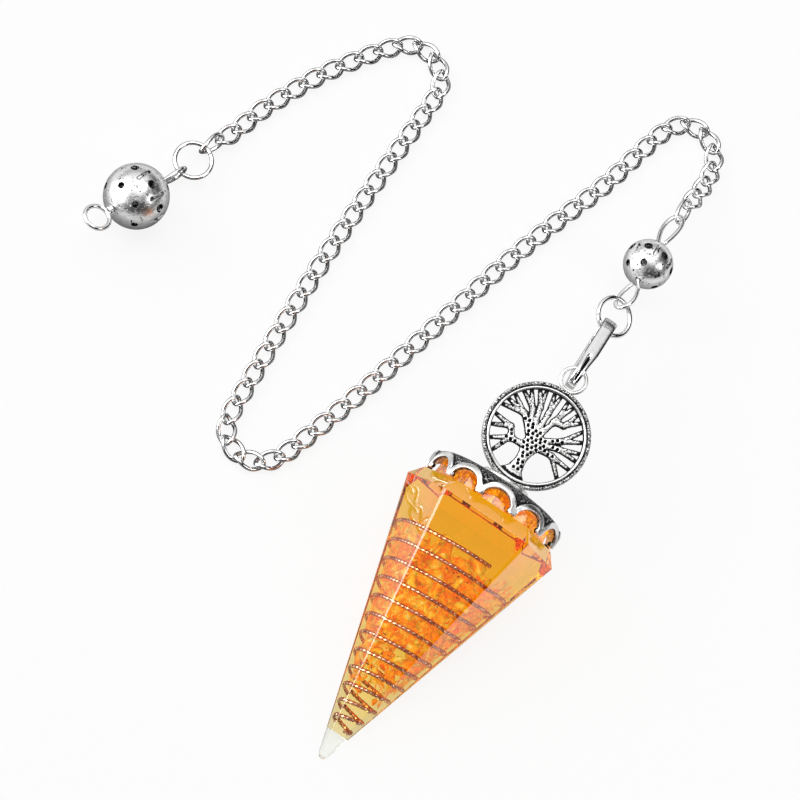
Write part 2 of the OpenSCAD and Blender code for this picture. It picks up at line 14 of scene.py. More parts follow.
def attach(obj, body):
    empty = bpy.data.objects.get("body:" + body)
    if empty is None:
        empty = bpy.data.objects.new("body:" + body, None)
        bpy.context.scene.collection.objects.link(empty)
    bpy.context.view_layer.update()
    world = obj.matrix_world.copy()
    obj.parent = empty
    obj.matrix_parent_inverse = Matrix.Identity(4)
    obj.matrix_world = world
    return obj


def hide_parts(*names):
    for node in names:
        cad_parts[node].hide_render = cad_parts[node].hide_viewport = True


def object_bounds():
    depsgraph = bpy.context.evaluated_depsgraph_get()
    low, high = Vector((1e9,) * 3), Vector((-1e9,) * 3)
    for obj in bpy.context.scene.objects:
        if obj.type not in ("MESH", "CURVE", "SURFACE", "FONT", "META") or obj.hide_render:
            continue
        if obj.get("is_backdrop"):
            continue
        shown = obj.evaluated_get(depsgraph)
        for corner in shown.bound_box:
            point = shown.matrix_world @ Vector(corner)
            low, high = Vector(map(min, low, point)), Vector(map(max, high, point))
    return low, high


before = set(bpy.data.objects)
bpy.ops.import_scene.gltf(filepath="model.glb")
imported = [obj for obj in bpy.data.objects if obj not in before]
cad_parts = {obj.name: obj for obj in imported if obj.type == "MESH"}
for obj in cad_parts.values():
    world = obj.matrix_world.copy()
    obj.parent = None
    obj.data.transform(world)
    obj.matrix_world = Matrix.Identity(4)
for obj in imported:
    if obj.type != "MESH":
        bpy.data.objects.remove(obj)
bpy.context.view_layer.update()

# Camera. A long lens looks down from the side of the point's tip, off the vertical by the lean, along
# the heading that the pendant lies in. The lean is a guess that fits the photograph.
MM = 0.001
PHOTO_SIDE_PX = 800
LENS_PX = 3247
VIEW_TARGET = np.array([-1.2, 25.4, 0.0])
VIEW_DISTANCE = 380.0
VIEW_HEADING = math.radians(56)
VIEW_LEAN = math.radians(20)

along = np.array([math.cos(VIEW_HEADING), math.sin(VIEW_HEADING), 0.0])
across = np.array([math.sin(VIEW_HEADING), -math.cos(VIEW_HEADING), 0.0])
upright = np.array([0.0, 0.0, 1.0])
view_back = upright * math.cos(VIEW_LEAN) - along * math.sin(VIEW_LEAN)
view_far = along * math.cos(VIEW_LEAN) + upright * math.sin(VIEW_LEAN)
view_right = across * math.sin(VIEW_HEADING) + view_far * math.cos(VIEW_HEADING)
view_up = view_far * math.sin(VIEW_HEADING) - across * math.cos(VIEW_HEADING)

camera_data = bpy.data.cameras.new("camera")
camera_data.sensor_width = 36.0
camera_data.lens = camera_data.sensor_width * LENS_PX / PHOTO_SIDE_PX
camera_data.clip_start = 0.01
camera_data.clip_end = 5.0
camera = bpy.data.objects.new("camera", camera_data)
bpy.context.scene.collection.objects.link(camera)
camera_place = np.eye(4)
camera_place[:3, 0] = view_right
camera_place[:3, 1] = view_up
camera_place[:3, 2] = view_back
camera_place[:3, 3] = (VIEW_TARGET + view_back * VIEW_DISTANCE) * MM
camera.matrix_world = Matrix(camera_place.tolist())
bpy.context.scene.camera = camera

# Studio. A pale table in a light tent that is open and dark at the bottom of the picture and low on
# its right, so that bright wire shows one dark line. The low box lights glossy edges alone.
TABLE_SIDE = 3.0
TABLE_DROP = 0.02
EVEN_SHARE = 0.86
# Metres from the table within which a reflection of it is painted darker, as contact shade, and how white it
# is beyond them
NEAR_DARK = 0.0020
NEAR_LIGHT = 0.0240
NEAR_WHITE = 0.95
SKY_RAMP = [(0.0, 0.06), (0.12, 0.18), (0.35, 0.72), (0.60, 1.02), (1.0, 1.14)]
DARK_SIDES = [
    # heading, height angle, cosine where it starts, cosine where it is full, light left there
    (-124, 54, 0.90, 0.975, 0.20),
    (-98, 20, 0.76, 0.90, 0.0),
    (-30, 10, 0.38, 0.60, 0.0),
    (35, 4, 0.80, 0.93, 0.10),
]
SOFT_BOXES = [
    # name, heading from the picture's right, height angle, distance, side, watts, for gloss alone
    ("soft_box_left", 150, 38, 0.60, 0.26, 0.80, False),
    ("soft_box_right", -28, 42, 0.60, 0.24, 0.55, False),
    ("soft_box_top", 70, 72, 0.70, 0.35, 0.90, False),
    ("edge_strip", 172, 22, 0.50, 0.42, 2.4, True),
]

scene = bpy.context.scene
scene.view_settings.view_transform = "Standard"
scene.view_settings.look = "None"


def aim(heading, slope):
    """Unit direction at a heading from the X axis, sloped down."""
    level = math.cos(slope)
    return np.array([math.cos(heading) * level, math.sin(heading) * level, -math.sin(slope)])


def feed(node, inputs):
    """Fills inputs of a node, by name or number: each takes a plain value or the output given for it."""
    for name, value in dict(inputs).items():
        if isinstance(value, bpy.types.NodeSocket):
            node.id_data.links.new(value, node.inputs[name])
        else:
            node.inputs[name].default_value = value


def add_node(tree, kind, inputs=(), **settings):
    """One shader node with its settings, and its inputs fed."""
    node = tree.nodes.new(kind)
    for name, value in settings.items():
        setattr(node, name, value)
    feed(node, inputs)
    return node


def output_of(tree, kind, inputs=(), take=0, **settings):
    """The output, by name or number, of a new shader node."""
    return add_node(tree, kind, inputs, **settings).outputs[take]


def set_ramp(node, stops):
    """Puts the stops, each a place from 0 to 1 and a grey or a colour, on a colour ramp."""
    elements = node.color_ramp.elements
    while len(elements) < len(stops):
        elements.new(0.5)
    for element, (place, colour) in zip(elements, stops):
        rgb = (colour,) * 3 if isinstance(colour, (int, float)) else tuple(colour)
        element.position = place
        element.color = rgb + (1.0,)
    return node


world = bpy.data.worlds.new("studio_sky")
world.use_nodes = True
sky = world.node_tree
sky.nodes.clear()
sky_way = output_of(sky, "ShaderNodeTexCoord", take="Generated")
sky_height = output_of(sky, "ShaderNodeSeparateXYZ", {0: sky_way}, take="Z")
sky_ramp = set_ramp(add_node(sky, "ShaderNodeValToRGB", {0: sky_height}), SKY_RAMP)
sky_shade = 1.0
for turn, height, far, near, least in DARK_SIDES:
    side_way = tuple(aim(math.radians(turn), -math.radians(height)))
    side_share = output_of(sky, "ShaderNodeVectorMath", {0: sky_way, 1: side_way}, take="Value",
                           operation="DOT_PRODUCT")
    side_light = output_of(sky, "ShaderNodeMapRange", {0: side_share, 1: far, 2: near, 3: 1.0, 4: least},
                           interpolation_type="SMOOTHSTEP")
    sky_shade = output_of(sky, "ShaderNodeMath", {0: side_light, 1: sky_shade}, operation="MULTIPLY")
sky_light = output_of(sky, "ShaderNodeBackground", {"Color": sky_ramp.outputs[0], "Strength": sky_shade})
add_node(sky, "ShaderNodeOutputWorld", {0: sky_light})
scene.world = world

for box_name, turn, height, distance, side, watts, gloss_alone in SOFT_BOXES:
    box_data = bpy.data.lights.new(box_name, "AREA")
    box_data.shape = "SQUARE"
    box_data.size = side
    box_data.energy = watts
    box = bpy.data.objects.new(box_name, box_data)
    scene.collection.objects.link(box)
    away = aim(math.radians(turn), -math.radians(height))
    box.location = VIEW_TARGET * MM + away * distance
    box.rotation_mode = "QUATERNION"
    box.rotation_quaternion = Vector(away).to_track_quat("Z", "Y")
    box.visible_diffuse = not gloss_alone


def new_material(name):
    """A material with its node tree, the one Principled shader that it shows, and its output node."""
    material = bpy.data.materials.new(name)
    material.use_nodes = True
    tree = material.node_tree
    tree.nodes.clear()
    shader = add_node(tree, "ShaderNodeBsdfPrincipled")
    out = add_node(tree, "ShaderNodeOutputMaterial", {"Surface": shader.outputs[0]})
    return material, tree, shader, out


# The camera, reflections and clear resin see the table mostly as an even white, as in a cut-out
# photograph, with faint shadows. Mirrored in wire or metal, it is darker the nearer it is.
table_finish, tree, shader, out = new_material("table_paper")
feed(shader, {"Base Color": (0.9, 0.9, 0.9, 1.0), "Roughness": 0.9, "Specular IOR Level": 0.0})
ray = add_node(tree, "ShaderNodeLightPath").outputs
# Painted contact shade: the table's reflection darkens near what mirrors it.
near_dark = output_of(tree, "ShaderNodeMapRange",
                      {0: ray["Ray Length"], 1: NEAR_DARK, 2: NEAR_LIGHT, 3: 0.0, 4: NEAR_WHITE})
mirror_ray = output_of(tree, "ShaderNodeMath", {0: ray["Is Glossy Ray"], 1: ray["Is Transmission Ray"]},
                       operation="SUBTRACT", use_clamp=True)
white_share = output_of(tree, "ShaderNodeMix", {0: mirror_ray, 2: 1.0, 3: near_dark}, data_type="FLOAT")
even_white = output_of(tree, "ShaderNodeEmission", {"Color": (1.0, 1.0, 1.0, 1.0), "Strength": white_share})
faint_mix = output_of(tree, "ShaderNodeMixShader", {0: EVEN_SHARE, 1: shader.outputs[0], 2: even_white})
seen_mix = output_of(tree, "ShaderNodeMixShader",
                     {0: ray["Is Diffuse Ray"], 1: faint_mix, 2: shader.outputs[0]})
feed(out, {"Surface": seen_mix})
table_mesh = bpy.data.meshes.new("table")
half, low = TABLE_SIDE / 2, -TABLE_DROP * MM
table_mesh.from_pydata([(-half, -half, low), (half, -half, low), (half, half, low), (-half, half, low)],
                       [], [(0, 1, 2, 3)])
table_mesh.materials.append(table_finish)
table = bpy.data.objects.new("table", table_mesh)
scene.collection.objects.link(table)
table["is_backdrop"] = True

# Resin point. Cast amber resin, a long six-sided point with a bevelled shoulder and a rough crown
# that is pressed into the cap. It lies on its flat back facet.
POINT_W = 20.0
FACE_W = 11.2
POINT_L = 32.4
TIP_W = 0.9
SHOULDER_H = 1.6
SHOULDER_IN = 1.3
CROWN_H = 2.1
CROWN_IN = 1.2
EDGE_ROUND = 0.7
TIP_CLEAR_L = 3.3
TIP_GAP = 0.01
AMBER_TINT = (0.965, 0.95, 0.92)
CROWN_TINT = (0.90, 0.56, 0.20)
CROWN_PAINTED_GLOW = (1.0, 0.42, 0.03)
LIE_HEADING = math.radians(55.9)
REST_POINT = 12.66

GIRDLE_D = (POINT_W - FACE_W) / 2 * math.tan(math.radians(60))
TIP_K = TIP_W / POINT_W
SHOULDER_K = 1 - SHOULDER_IN / (POINT_W / 2)
CROWN_K = SHOULDER_K - CROWN_IN / (POINT_W / 2)
LEAN = math.atan(GIRDLE_D * (1 - TIP_K) / POINT_L)


def lay(points):
    """Lays upright pendant points on the back facet: local z goes along the lie, local y goes up,
    both turned by the lean, and the whole is turned to its heading."""
    x, y, z = np.moveaxis(np.asarray(points, float), -1, 0)
    depth = y - GIRDLE_D
    run = depth * math.sin(LEAN) + z * math.cos(LEAN) + REST_POINT
    rise = z * math.sin(LEAN) - depth * math.cos(LEAN)
    c, s = math.cos(LIE_HEADING), math.sin(LIE_HEADING)
    return np.stack([run * c + x * s, run * s - x * c, rise], -1)


def strip_faces(rows, cols, loop_rows=False, loop_cols=True):
    """Four-cornered faces of a grid of points, which may close on itself either way."""
    r = np.arange(rows if loop_rows else rows - 1)[:, None]
    c = np.arange(cols if loop_cols else cols - 1)[None, :]
    r2, c2 = (r + 1) % rows, (c + 1) % cols
    corners = [r * cols + c, r2 * cols + c, r2 * cols + c2, r * cols + c2]
    return np.stack(np.broadcast_arrays(*corners), -1).reshape(-1, 4)


def end_faces(rows, cols):
    """The first and last ring of a grid of points, each closed by one face."""
    return [list(range(cols)), list(range(rows * cols - 1, (rows - 1) * cols - 1, -1))]


def tube_shell(grid, mask=None):
    """A grid of rings as one closed shell: points, faces and a mask value for each point."""
    rows, cols = grid.shape[:2]
    faces = [*strip_faces(rows, cols).tolist(), *end_faces(rows, cols)]
    return grid.reshape(-1, 3), faces, np.zeros(rows * cols) if mask is None else np.ravel(mask)


def hoop_shell(grid, mask=None):
    """A grid of rings that closes on itself both ways, as one shell."""
    rows, cols = grid.shape[:2]
    faces = strip_faces(rows, cols, loop_rows=True).tolist()
    return grid.reshape(-1, 3), faces, np.zeros(rows * cols) if mask is None else np.ravel(mask)


def turned_out(points, faces):
    """The faces of a closed shell, turned outwards by the sign of its volume."""
    first = np.array([f[:4] if len(f) > 3 else [*f, f[2]] for f in faces])
    a, b, c, d = (points[first[:, k]] for k in range(4))
    volume = np.einsum("ij,ij->i", a, np.cross(b, c)).sum() + np.einsum("ij,ij->i", a, np.cross(c, d)).sum()
    return [f[::-1] for f in faces] if volume < 0 else faces


def make_piece(name, shells, material, node=None, crease=None):
    """A mesh piece from closed shells in millimetres. Its mask, from 0 to 1 over the surface, is kept
    as a mesh attribute: patina and tint on some pieces, painted shade and painted glow on others.
    It rides on the part's one body, and stands for a solid of the frame.
    With a crease angle, flat faces stay flat and only the narrow ones between them shade smoothly."""
    points = np.concatenate([shell[0] for shell in shells])
    mask = np.concatenate([shell[2] for shell in shells])
    starts = np.cumsum([0] + [len(shell[0]) for shell in shells])
    faces = []
    for start, (own, own_faces, _) in zip(starts, shells):
        faces += [[int(start) + int(k) for k in f] for f in turned_out(own, own_faces)]
    mesh = bpy.data.meshes.new(name)
    mesh.from_pydata((points * MM).tolist(), [], faces)
    mesh.attributes.new("tint_and_painted_light", "FLOAT", "POINT").data.foreach_set("value", mask)
    mesh.polygons.foreach_set("use_smooth", [True] * len(faces))
    mesh.materials.append(material)
    if crease:
        mesh.set_sharp_from_angle(angle=math.radians(crease))
    mesh.update()
    piece = bpy.data.objects.new(name, mesh)
    if crease:
        flat_faces = piece.modifiers.new("flat_faces", "WEIGHTED_NORMAL")
        flat_faces.keep_sharp = True
    scene.collection.objects.link(piece)
    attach(piece, "root")
    if node:
        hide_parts(node)
    return piece


def rounded_hexagon():
    """Outline of the resin's widest section, x and y, with each corner an arc of the edge's radius."""
    steps = 6
    corners = np.array([[POINT_W, 0], [FACE_W, 2 * GIRDLE_D], [-FACE_W, 2 * GIRDLE_D],
                        [-POINT_W, 0], [-FACE_W, -2 * GIRDLE_D], [FACE_W, -2 * GIRDLE_D]]) / 2
    outline = []
    for i, corner in enumerate(corners):
        before, after = corners[i - 1] - corner, corners[(i + 1) % 6] - corner
        before, after = before / np.linalg.norm(before), after / np.linalg.norm(after)
        half_turn = math.acos(before @ after) / 2
        middle = (before + after) / np.linalg.norm(before + after)
        centre = corner + middle * EDGE_ROUND / math.sin(half_turn)
        first = corner + before * EDGE_ROUND / math.tan(half_turn) - centre
        last = corner + after * EDGE_ROUND / math.tan(half_turn) - centre
        turn = math.atan2(first[0] * last[1] - first[1] * last[0], first @ last)
        for t in np.linspace(0, turn, steps + 1):
            c, s = math.cos(t), math.sin(t)
            outline.append(centre + [first[0] * c - first[1] * s, first[0] * s + first[1] * c])
    return np.array(outline)


def resin_rings(levels):
    """Rings of the rounded hexagon, each scaled and set at a height: rows of scale and height."""
    outline = rounded_hexagon()
    return np.array([[(x * k, y * k, z) for x, y in outline] for k, z in levels])


def section_k(h):
    """Scale of the resin's section at a height above the tip."""
    return TIP_K + (1 - TIP_K) * h / POINT_L


def clear_shader(name, tint, roughness, ior, absorb, density):
    """Glass-like resin that lets lamps through: tinted by its depth, with a Light Path stand-in."""
    material, tree, shader, out = new_material(name)
    feed(shader, {"Base Color": (*tint, 1.0), "Transmission Weight": 1.0, "Roughness": roughness, "IOR": ior})
    inside = output_of(tree, "ShaderNodeVolumeAbsorption", {"Color": (*absorb, 1.0), "Density": density})
    through = output_of(tree, "ShaderNodeBsdfTransparent", {"Color": (*tint, 1.0)})
    ray = add_node(tree, "ShaderNodeLightPath").outputs
    soft = output_of(tree, "ShaderNodeMixShader",
                     {0: ray["Is Diffuse Ray"], 1: shader.outputs[0], 2: through})
    mix = output_of(tree, "ShaderNodeMixShader", {0: ray["Is Shadow Ray"], 1: soft, 2: through})
    feed(out, {"Volume": inside, "Surface": mix})
    return material, tree, shader


amber, tree, shader = clear_shader("amber_resin", AMBER_TINT, roughness=0.015, ior=1.46,
                                   absorb=(1.0, 0.84, 0.0), density=320.0)
place = output_of(tree, "ShaderNodeTexCoord", take="Object")
crown_mask = output_of(tree, "ShaderNodeAttribute", take="Fac", attribute_name="tint_and_painted_light")
crown_tint = output_of(tree, "ShaderNodeMix",
                       {"Factor": crown_mask, 6: (*AMBER_TINT, 1.0), 7: (*CROWN_TINT, 1.0)},
                       take=2, data_type="RGBA")
# The crown gives off a faint orange painted glow.
crown_painted_glow = output_of(tree, "ShaderNodeMix",
                       {"Factor": crown_mask, 6: (0.0, 0.0, 0.0, 1.0), 7: (*CROWN_PAINTED_GLOW, 1.0)},
                       take=2, data_type="RGBA")
ripple = output_of(tree, "ShaderNodeTexNoise", {"Vector": place, "Scale": 230.0, "Detail": 2.0}, take="Fac")
lumps = output_of(tree, "ShaderNodeTexVoronoi", {"Vector": place, "Scale": 1100.0}, take="Distance")
crown_lumps = output_of(tree, "ShaderNodeMath", {0: lumps, 1: crown_mask}, operation="MULTIPLY")
relief = output_of(tree, "ShaderNodeMath", {0: ripple, 1: 0.07, 2: crown_lumps}, operation="MULTIPLY_ADD")
bump = output_of(tree, "ShaderNodeBump", {"Height": relief, "Strength": 0.5, "Distance": 0.0003})
feed(shader, {"Base Color": crown_tint, "Emission Color": crown_painted_glow, "Emission Strength": 0.12,
              "Normal": bump, "Coat Weight": 1.0, "Coat Roughness": 0.02, "Coat IOR": 1.65})

clear_z = TIP_CLEAR_L - POINT_L
crown_top = SHOULDER_H + CROWN_H
clear_k = section_k(clear_z + POINT_L)
amber_levels = [(clear_k * 0.5, clear_z + TIP_GAP), (clear_k * 0.999, clear_z + TIP_GAP)]
amber_levels += [(section_k(z + POINT_L), z) for z in np.linspace(clear_z + 0.1, -0.3, 12)]
amber_levels += [(0.9995, -0.02), (0.9985, 0.02)]
amber_levels += [(SHOULDER_K + 0.012, SHOULDER_H - 0.12), (SHOULDER_K - 0.01, SHOULDER_H)]
amber_levels += [(CROWN_K + 0.01, SHOULDER_H + 0.02)]
amber_levels += [(CROWN_K * (1 - 0.04 * f), SHOULDER_H + 0.1 + (CROWN_H - 0.1) * f)
                 for f in np.linspace(0, 1, 8)]
amber_levels += [(CROWN_K * 0.6, crown_top), (CROWN_K * 0.2, crown_top)]
amber_grid = resin_rings(amber_levels)
in_crown = (amber_grid[..., 2] > SHOULDER_H + 0.05).astype(float)
make_piece("resin_body", [tube_shell(lay(amber_grid), in_crown)], amber, "resin_point",
           crease=25)

tip_resin = clear_shader("clear_tip_resin", (0.91, 0.92, 0.89), roughness=0.30, ior=1.36,
                         absorb=(0.93, 0.94, 0.86), density=110.0)[0]
tip_levels = [(TIP_K * 0.3, -POINT_L), (TIP_K * 0.7, -POINT_L + 0.04), (TIP_K, -POINT_L + 0.3)]
tip_levels += [(section_k(z + POINT_L), z) for z in np.linspace(-POINT_L + 0.4, clear_z - TIP_GAP, 6)]
tip_levels += [(clear_k * 0.5, clear_z - TIP_GAP)]
make_piece("resin_tip", [tube_shell(lay(resin_rings(tip_levels)))], tip_resin, "resin_point",
           crease=25)

# Copper coil. Square copper wire with its own twist, wound on an oval taper and cast into the resin.
# Its flats glint in turn between dark corners, which are painted shade.
COIL_WIRE = 0.5
COIL_TURNS = 12
COIL_LOW = 4.0
COIL_HIGH = 28.2
COIL_COVER = 0.35
COIL_GROW = 1.1
COIL_START = math.radians(-60)
WIRE_TWIST_L = 2.4
COIL_POINTS = 1500
CORNER_STEPS = 3


def coil_deep(h):
    """The coil's half depth, which leaves the cover under the front and back facets."""
    return GIRDLE_D * section_k(h) - COIL_COVER - COIL_WIRE / 2


def coil_across(h):
    """The coil's half width: the oval comes just as near to the slanted facets at 60 degrees."""
    reach = POINT_W / 2 * section_k(h) * math.cos(math.radians(30)) - COIL_COVER - COIL_WIRE / 2
    return np.sqrt(reach ** 2 - (coil_deep(h) / 2) ** 2) / math.cos(math.radians(30))


def unit(v):
    """Vectors of length 1."""
    return v / np.linalg.norm(v, axis=-1, keepdims=True)


def sweep(path, sides, profile, closed=False):
    """Carries a profile along a path. sides point roughly along the profile's first axis, and the
    second is square to it and to the path. profile is one outline, or one for each path point."""
    if closed:
        heading = unit(np.roll(path, -1, -2) - np.roll(path, 1, -2))
    else:
        heading = unit(np.gradient(path, axis=-2))
    sides = np.broadcast_to(sides, path.shape)
    first = unit(sides - heading * np.sum(sides * heading, -1, keepdims=True))
    second = np.cross(heading, first)
    return (path[..., None, :] + profile[..., :1] * first[..., None, :]
            + profile[..., 1:] * second[..., None, :])


def round_profile(wire, count):
    """Outline of a round wire."""
    t = np.linspace(0, 2 * math.pi, count, endpoint=False)
    return np.stack([np.cos(t), np.sin(t)], -1) * wire / 2


def square_profile(wire, steps):
    """Outline of a square wire with round corners, as a power curve of 4. Its flats stand at 0.86 of
    the wire's radius, and it starts at a corner, with so many steps to the next."""
    t = np.linspace(0, 2 * math.pi, 4 * steps, endpoint=False) + math.pi / 4
    c, s = np.cos(t), np.sin(t)
    return np.stack([np.sign(c) * np.abs(c) ** 0.5, np.sign(s) * np.abs(s) ** 0.5], -1) * wire / 2 * 0.86


copper, tree, shader, out = new_material("coil_copper")
place = output_of(tree, "ShaderNodeTexCoord", take="Object")
spots = output_of(tree, "ShaderNodeTexNoise", {"Vector": place, "Scale": 900.0, "Detail": 3.0}, take="Fac")
copper_ramp = set_ramp(add_node(tree, "ShaderNodeValToRGB", {0: spots}),
                       [(0.3, (0.70, 0.30, 0.24)), (0.7, (0.98, 0.74, 0.66))])
# The wire's corners are painted near black: painted shade.
corners = output_of(tree, "ShaderNodeAttribute", take="Fac", attribute_name="tint_and_painted_light")
copper_mix = output_of(tree, "ShaderNodeMix",
                       {"Factor": corners, 6: copper_ramp.outputs[0], 7: (0.16, 0.035, 0.035, 1.0)},
                       take=2, data_type="RGBA")
feed(shader, {"Metallic": 1.0, "Roughness": 0.16, "Base Color": copper_mix})

share = np.linspace(0, 1, COIL_POINTS)
coil_h = COIL_LOW + (COIL_HIGH - COIL_LOW) * share ** COIL_GROW
coil_angle = 2 * math.pi * COIL_TURNS * share + COIL_START
coil_path = np.stack([coil_across(coil_h) * np.cos(coil_angle), coil_deep(coil_h) * np.sin(coil_angle),
                      coil_h - POINT_L], -1)
coil_run = np.concatenate([[0], np.cumsum(np.linalg.norm(np.diff(coil_path, axis=0), axis=1))])
turn = 2 * math.pi * coil_run / WIRE_TWIST_L
square = square_profile(COIL_WIRE, CORNER_STEPS)
c, s = np.cos(turn)[:, None], np.sin(turn)[:, None]
twisted = np.stack([square[:, 0] * c - square[:, 1] * s, square[:, 0] * s + square[:, 1] * c], -1)
coil_grid = sweep(coil_path, coil_path * [1, 1, 0], twisted)
painted_corner_shade = (np.arange(4 * CORNER_STEPS) % CORNER_STEPS == 0).astype(float)
corner = np.broadcast_to(painted_corner_shade, coil_grid.shape[:2])
make_piece("coil_wire", [tube_shell(lay(coil_grid), corner)], copper, "copper_coil")

# Stone chips. Crushed yellow stone in thin curled flakes and shreds, poured inside the coil before
# the resin. The flakes lie thickest under the facets.
CHIP_SEED = 11
CHIP_LOW = 7.5
CHIP_HIGH = 27.8
SHEETS = 110
FLAKES = 120
SHREDS = 190
CHIP_STEPS = 10
# Shares of the way to the coil: where chips begin to be pressed together, and the room they press into
CROWD_FROM = 0.85
CROWD_ROOM = 0.15
STONE_RAMP = [(0.34, (0.90, 0.27, 0.0)), (0.43, (1.0, 0.46, 0.0)), (0.52, (1.0, 0.62, 0.01)),
              (0.60, (1.0, 0.76, 0.05)), (0.68, (1.0, 0.94, 0.50))]

stone, tree, shader, out = new_material("stone_chips")
place = output_of(tree, "ShaderNodeTexCoord", take="Object")
veins = output_of(tree, "ShaderNodeTexNoise",
                  {"Vector": place, "Scale": 520.0, "Detail": 5.0, "Distortion": 2.2}, take="Fac")
stone_colour = set_ramp(add_node(tree, "ShaderNodeValToRGB", {0: veins}), STONE_RAMP).outputs[0]
crinkle = output_of(tree, "ShaderNodeTexNoise",
                    {"Vector": place, "Scale": 1500.0, "Detail": 3.0, "Distortion": 3.0}, take="Fac")
bump = output_of(tree, "ShaderNodeBump", {"Height": crinkle, "Strength": 0.9, "Distance": 0.00025})
# The chips give off light of their own colour: a painted glow.
feed(shader, {"Base Color": stone_colour, "Roughness": 0.16, "Emission Color": stone_colour,
              "Emission Strength": 0.50, "Normal": bump})
stone_glow = output_of(tree, "ShaderNodeBsdfTranslucent", {"Color": stone_colour})
stone_mix = output_of(tree, "ShaderNodeMixShader", {0: 0.5, 1: shader.outputs[0], 2: stone_glow})
feed(out, {"Surface": stone_mix})


def curls(count, random, radius, arc, width, thick):
    """Curled strips, each an arc in its own plane with a flat section that narrows to its ends:
    arrays of count by steps by 4 points. radius, arc, width are lowest and highest values."""
    r = random.uniform(*radius, (count, 1))
    t = np.linspace(-0.5, 0.5, CHIP_STEPS) * random.uniform(*arc, (count, 1))
    wave = 1 + 0.25 * np.sin(3 * t + random.uniform(0, 6, (count, 1)))
    narrowing = np.sqrt(np.clip(1 - (np.linspace(-0.97, 0.97, CHIP_STEPS)) ** 2, 0, 1))
    w = random.uniform(*width, (count, 1)) / 2 * narrowing
    path = np.stack([r * wave * np.cos(t) - r, r * wave * np.sin(t), 0.35 * r * np.sin(2 * t)], -1)
    out = np.stack([np.cos(t), np.sin(t), 0 * t], -1)[:, :, None]
    side = np.array([[0, 1.0], [thick, 0], [0, -1.0], [-thick, 0]])
    reach = np.stack([np.broadcast_to(side[:, 0], (*w.shape, 4)), w[..., None] * side[:, 1]], -1)
    grid = path[:, :, None] + out * reach[..., :1] + np.array([0, 0, 1.0]) * reach[..., 1:]
    turns, _ = np.linalg.qr(random.normal(size=(count, 3, 3)))
    return np.einsum("nij,nabj->nabi", turns, grid)


random = np.random.default_rng(CHIP_SEED)
sheets = curls(SHEETS, random, (1.2, 2.6), (0.8, 1.8), (1.4, 3.0), 0.10)
flakes = curls(FLAKES, random, (0.6, 1.4), (1.2, 2.6), (0.5, 1.3), 0.08)
shreds = curls(SHREDS, random, (0.8, 2.0), (1.6, 4.2), (0.12, 0.34), 0.07)
chips = np.concatenate([sheets, flakes, shreds])
count = len(chips)
chip_h = CHIP_LOW + (CHIP_HIGH - CHIP_LOW) * random.random(count) ** 0.5
chip_a = 2 * math.pi * random.random(count)
chip_f = random.random(count) ** 0.35
chip_at = np.stack([coil_across(chip_h) * chip_f * np.cos(chip_a),
                    coil_deep(chip_h) * chip_f * np.sin(chip_a), chip_h - POINT_L], -1)
chips = chips * np.clip(coil_deep(chip_h) / 3.2, 0.45, 1.0)[:, None, None, None] + chip_at[:, None, None]
chips[..., 2] = np.clip(chips[..., 2], COIL_LOW + 1.6 - POINT_L, CHIP_HIGH + 0.6 - POINT_L)
room = COIL_WIRE / 2 + 0.1
oval_x = coil_across(chips[..., 2] + POINT_L) - room
oval_y = coil_deep(chips[..., 2] + POINT_L) - room
reach = np.sqrt((chips[..., 0] / oval_x) ** 2 + (chips[..., 1] / oval_y) ** 2)
pressed = CROWD_FROM + CROWD_ROOM * np.tanh((reach - CROWD_FROM) / CROWD_ROOM)
squeeze = np.where(reach > CROWD_FROM, pressed / np.maximum(reach, 0.01), 1.0)
chips[..., :2] *= squeeze[..., None]
one_chip = [*strip_faces(CHIP_STEPS, 4).tolist(), *end_faces(CHIP_STEPS, 4)]
chip_faces = [[i + 4 * CHIP_STEPS * k for i in f] for k in range(count) for f in one_chip]
make_piece("chip_pile", [(lay(chips).reshape(-1, 3), chip_faces, np.zeros(count * CHIP_STEPS * 4))],
           stone, "stone_chips")

# Petal cap. A cast cap of twelve arched petals, antiqued so that its grounds and the edges of its
# ribbons are dark. A flat raised ribbon edges each arch, and two small beads stand at each foot.
PETALS = 12
CAP_INSET = 0.1
CAP_REACH = 0.23
CAP_T = 0.4
CAP_H = 3.2
ARCH_H = 1.7
RIM_BAND = 0.7
RIM_PROUD = 0.22
FOOT_BEAD = 0.66
CAP_BEND = 4.5
FOOT_SHARE = 0.8
POST_D = 1.2
SEAT_GAP = 0.08
# Black of the silver's mask: patina on the antiqued pieces, painted shade on the bright bail.
BLACK_PATINA_AND_SHADE = (0.018, 0.018, 0.02)

CAP_W = POINT_W - 2 * SHOULDER_IN - 2 * CAP_INSET
CAP_D = 2 * GIRDLE_D + 2 * CAP_REACH
CAP_BASE = SHOULDER_H + SEAT_GAP
CAP_HOLE = POST_D / 2 + SEAT_GAP


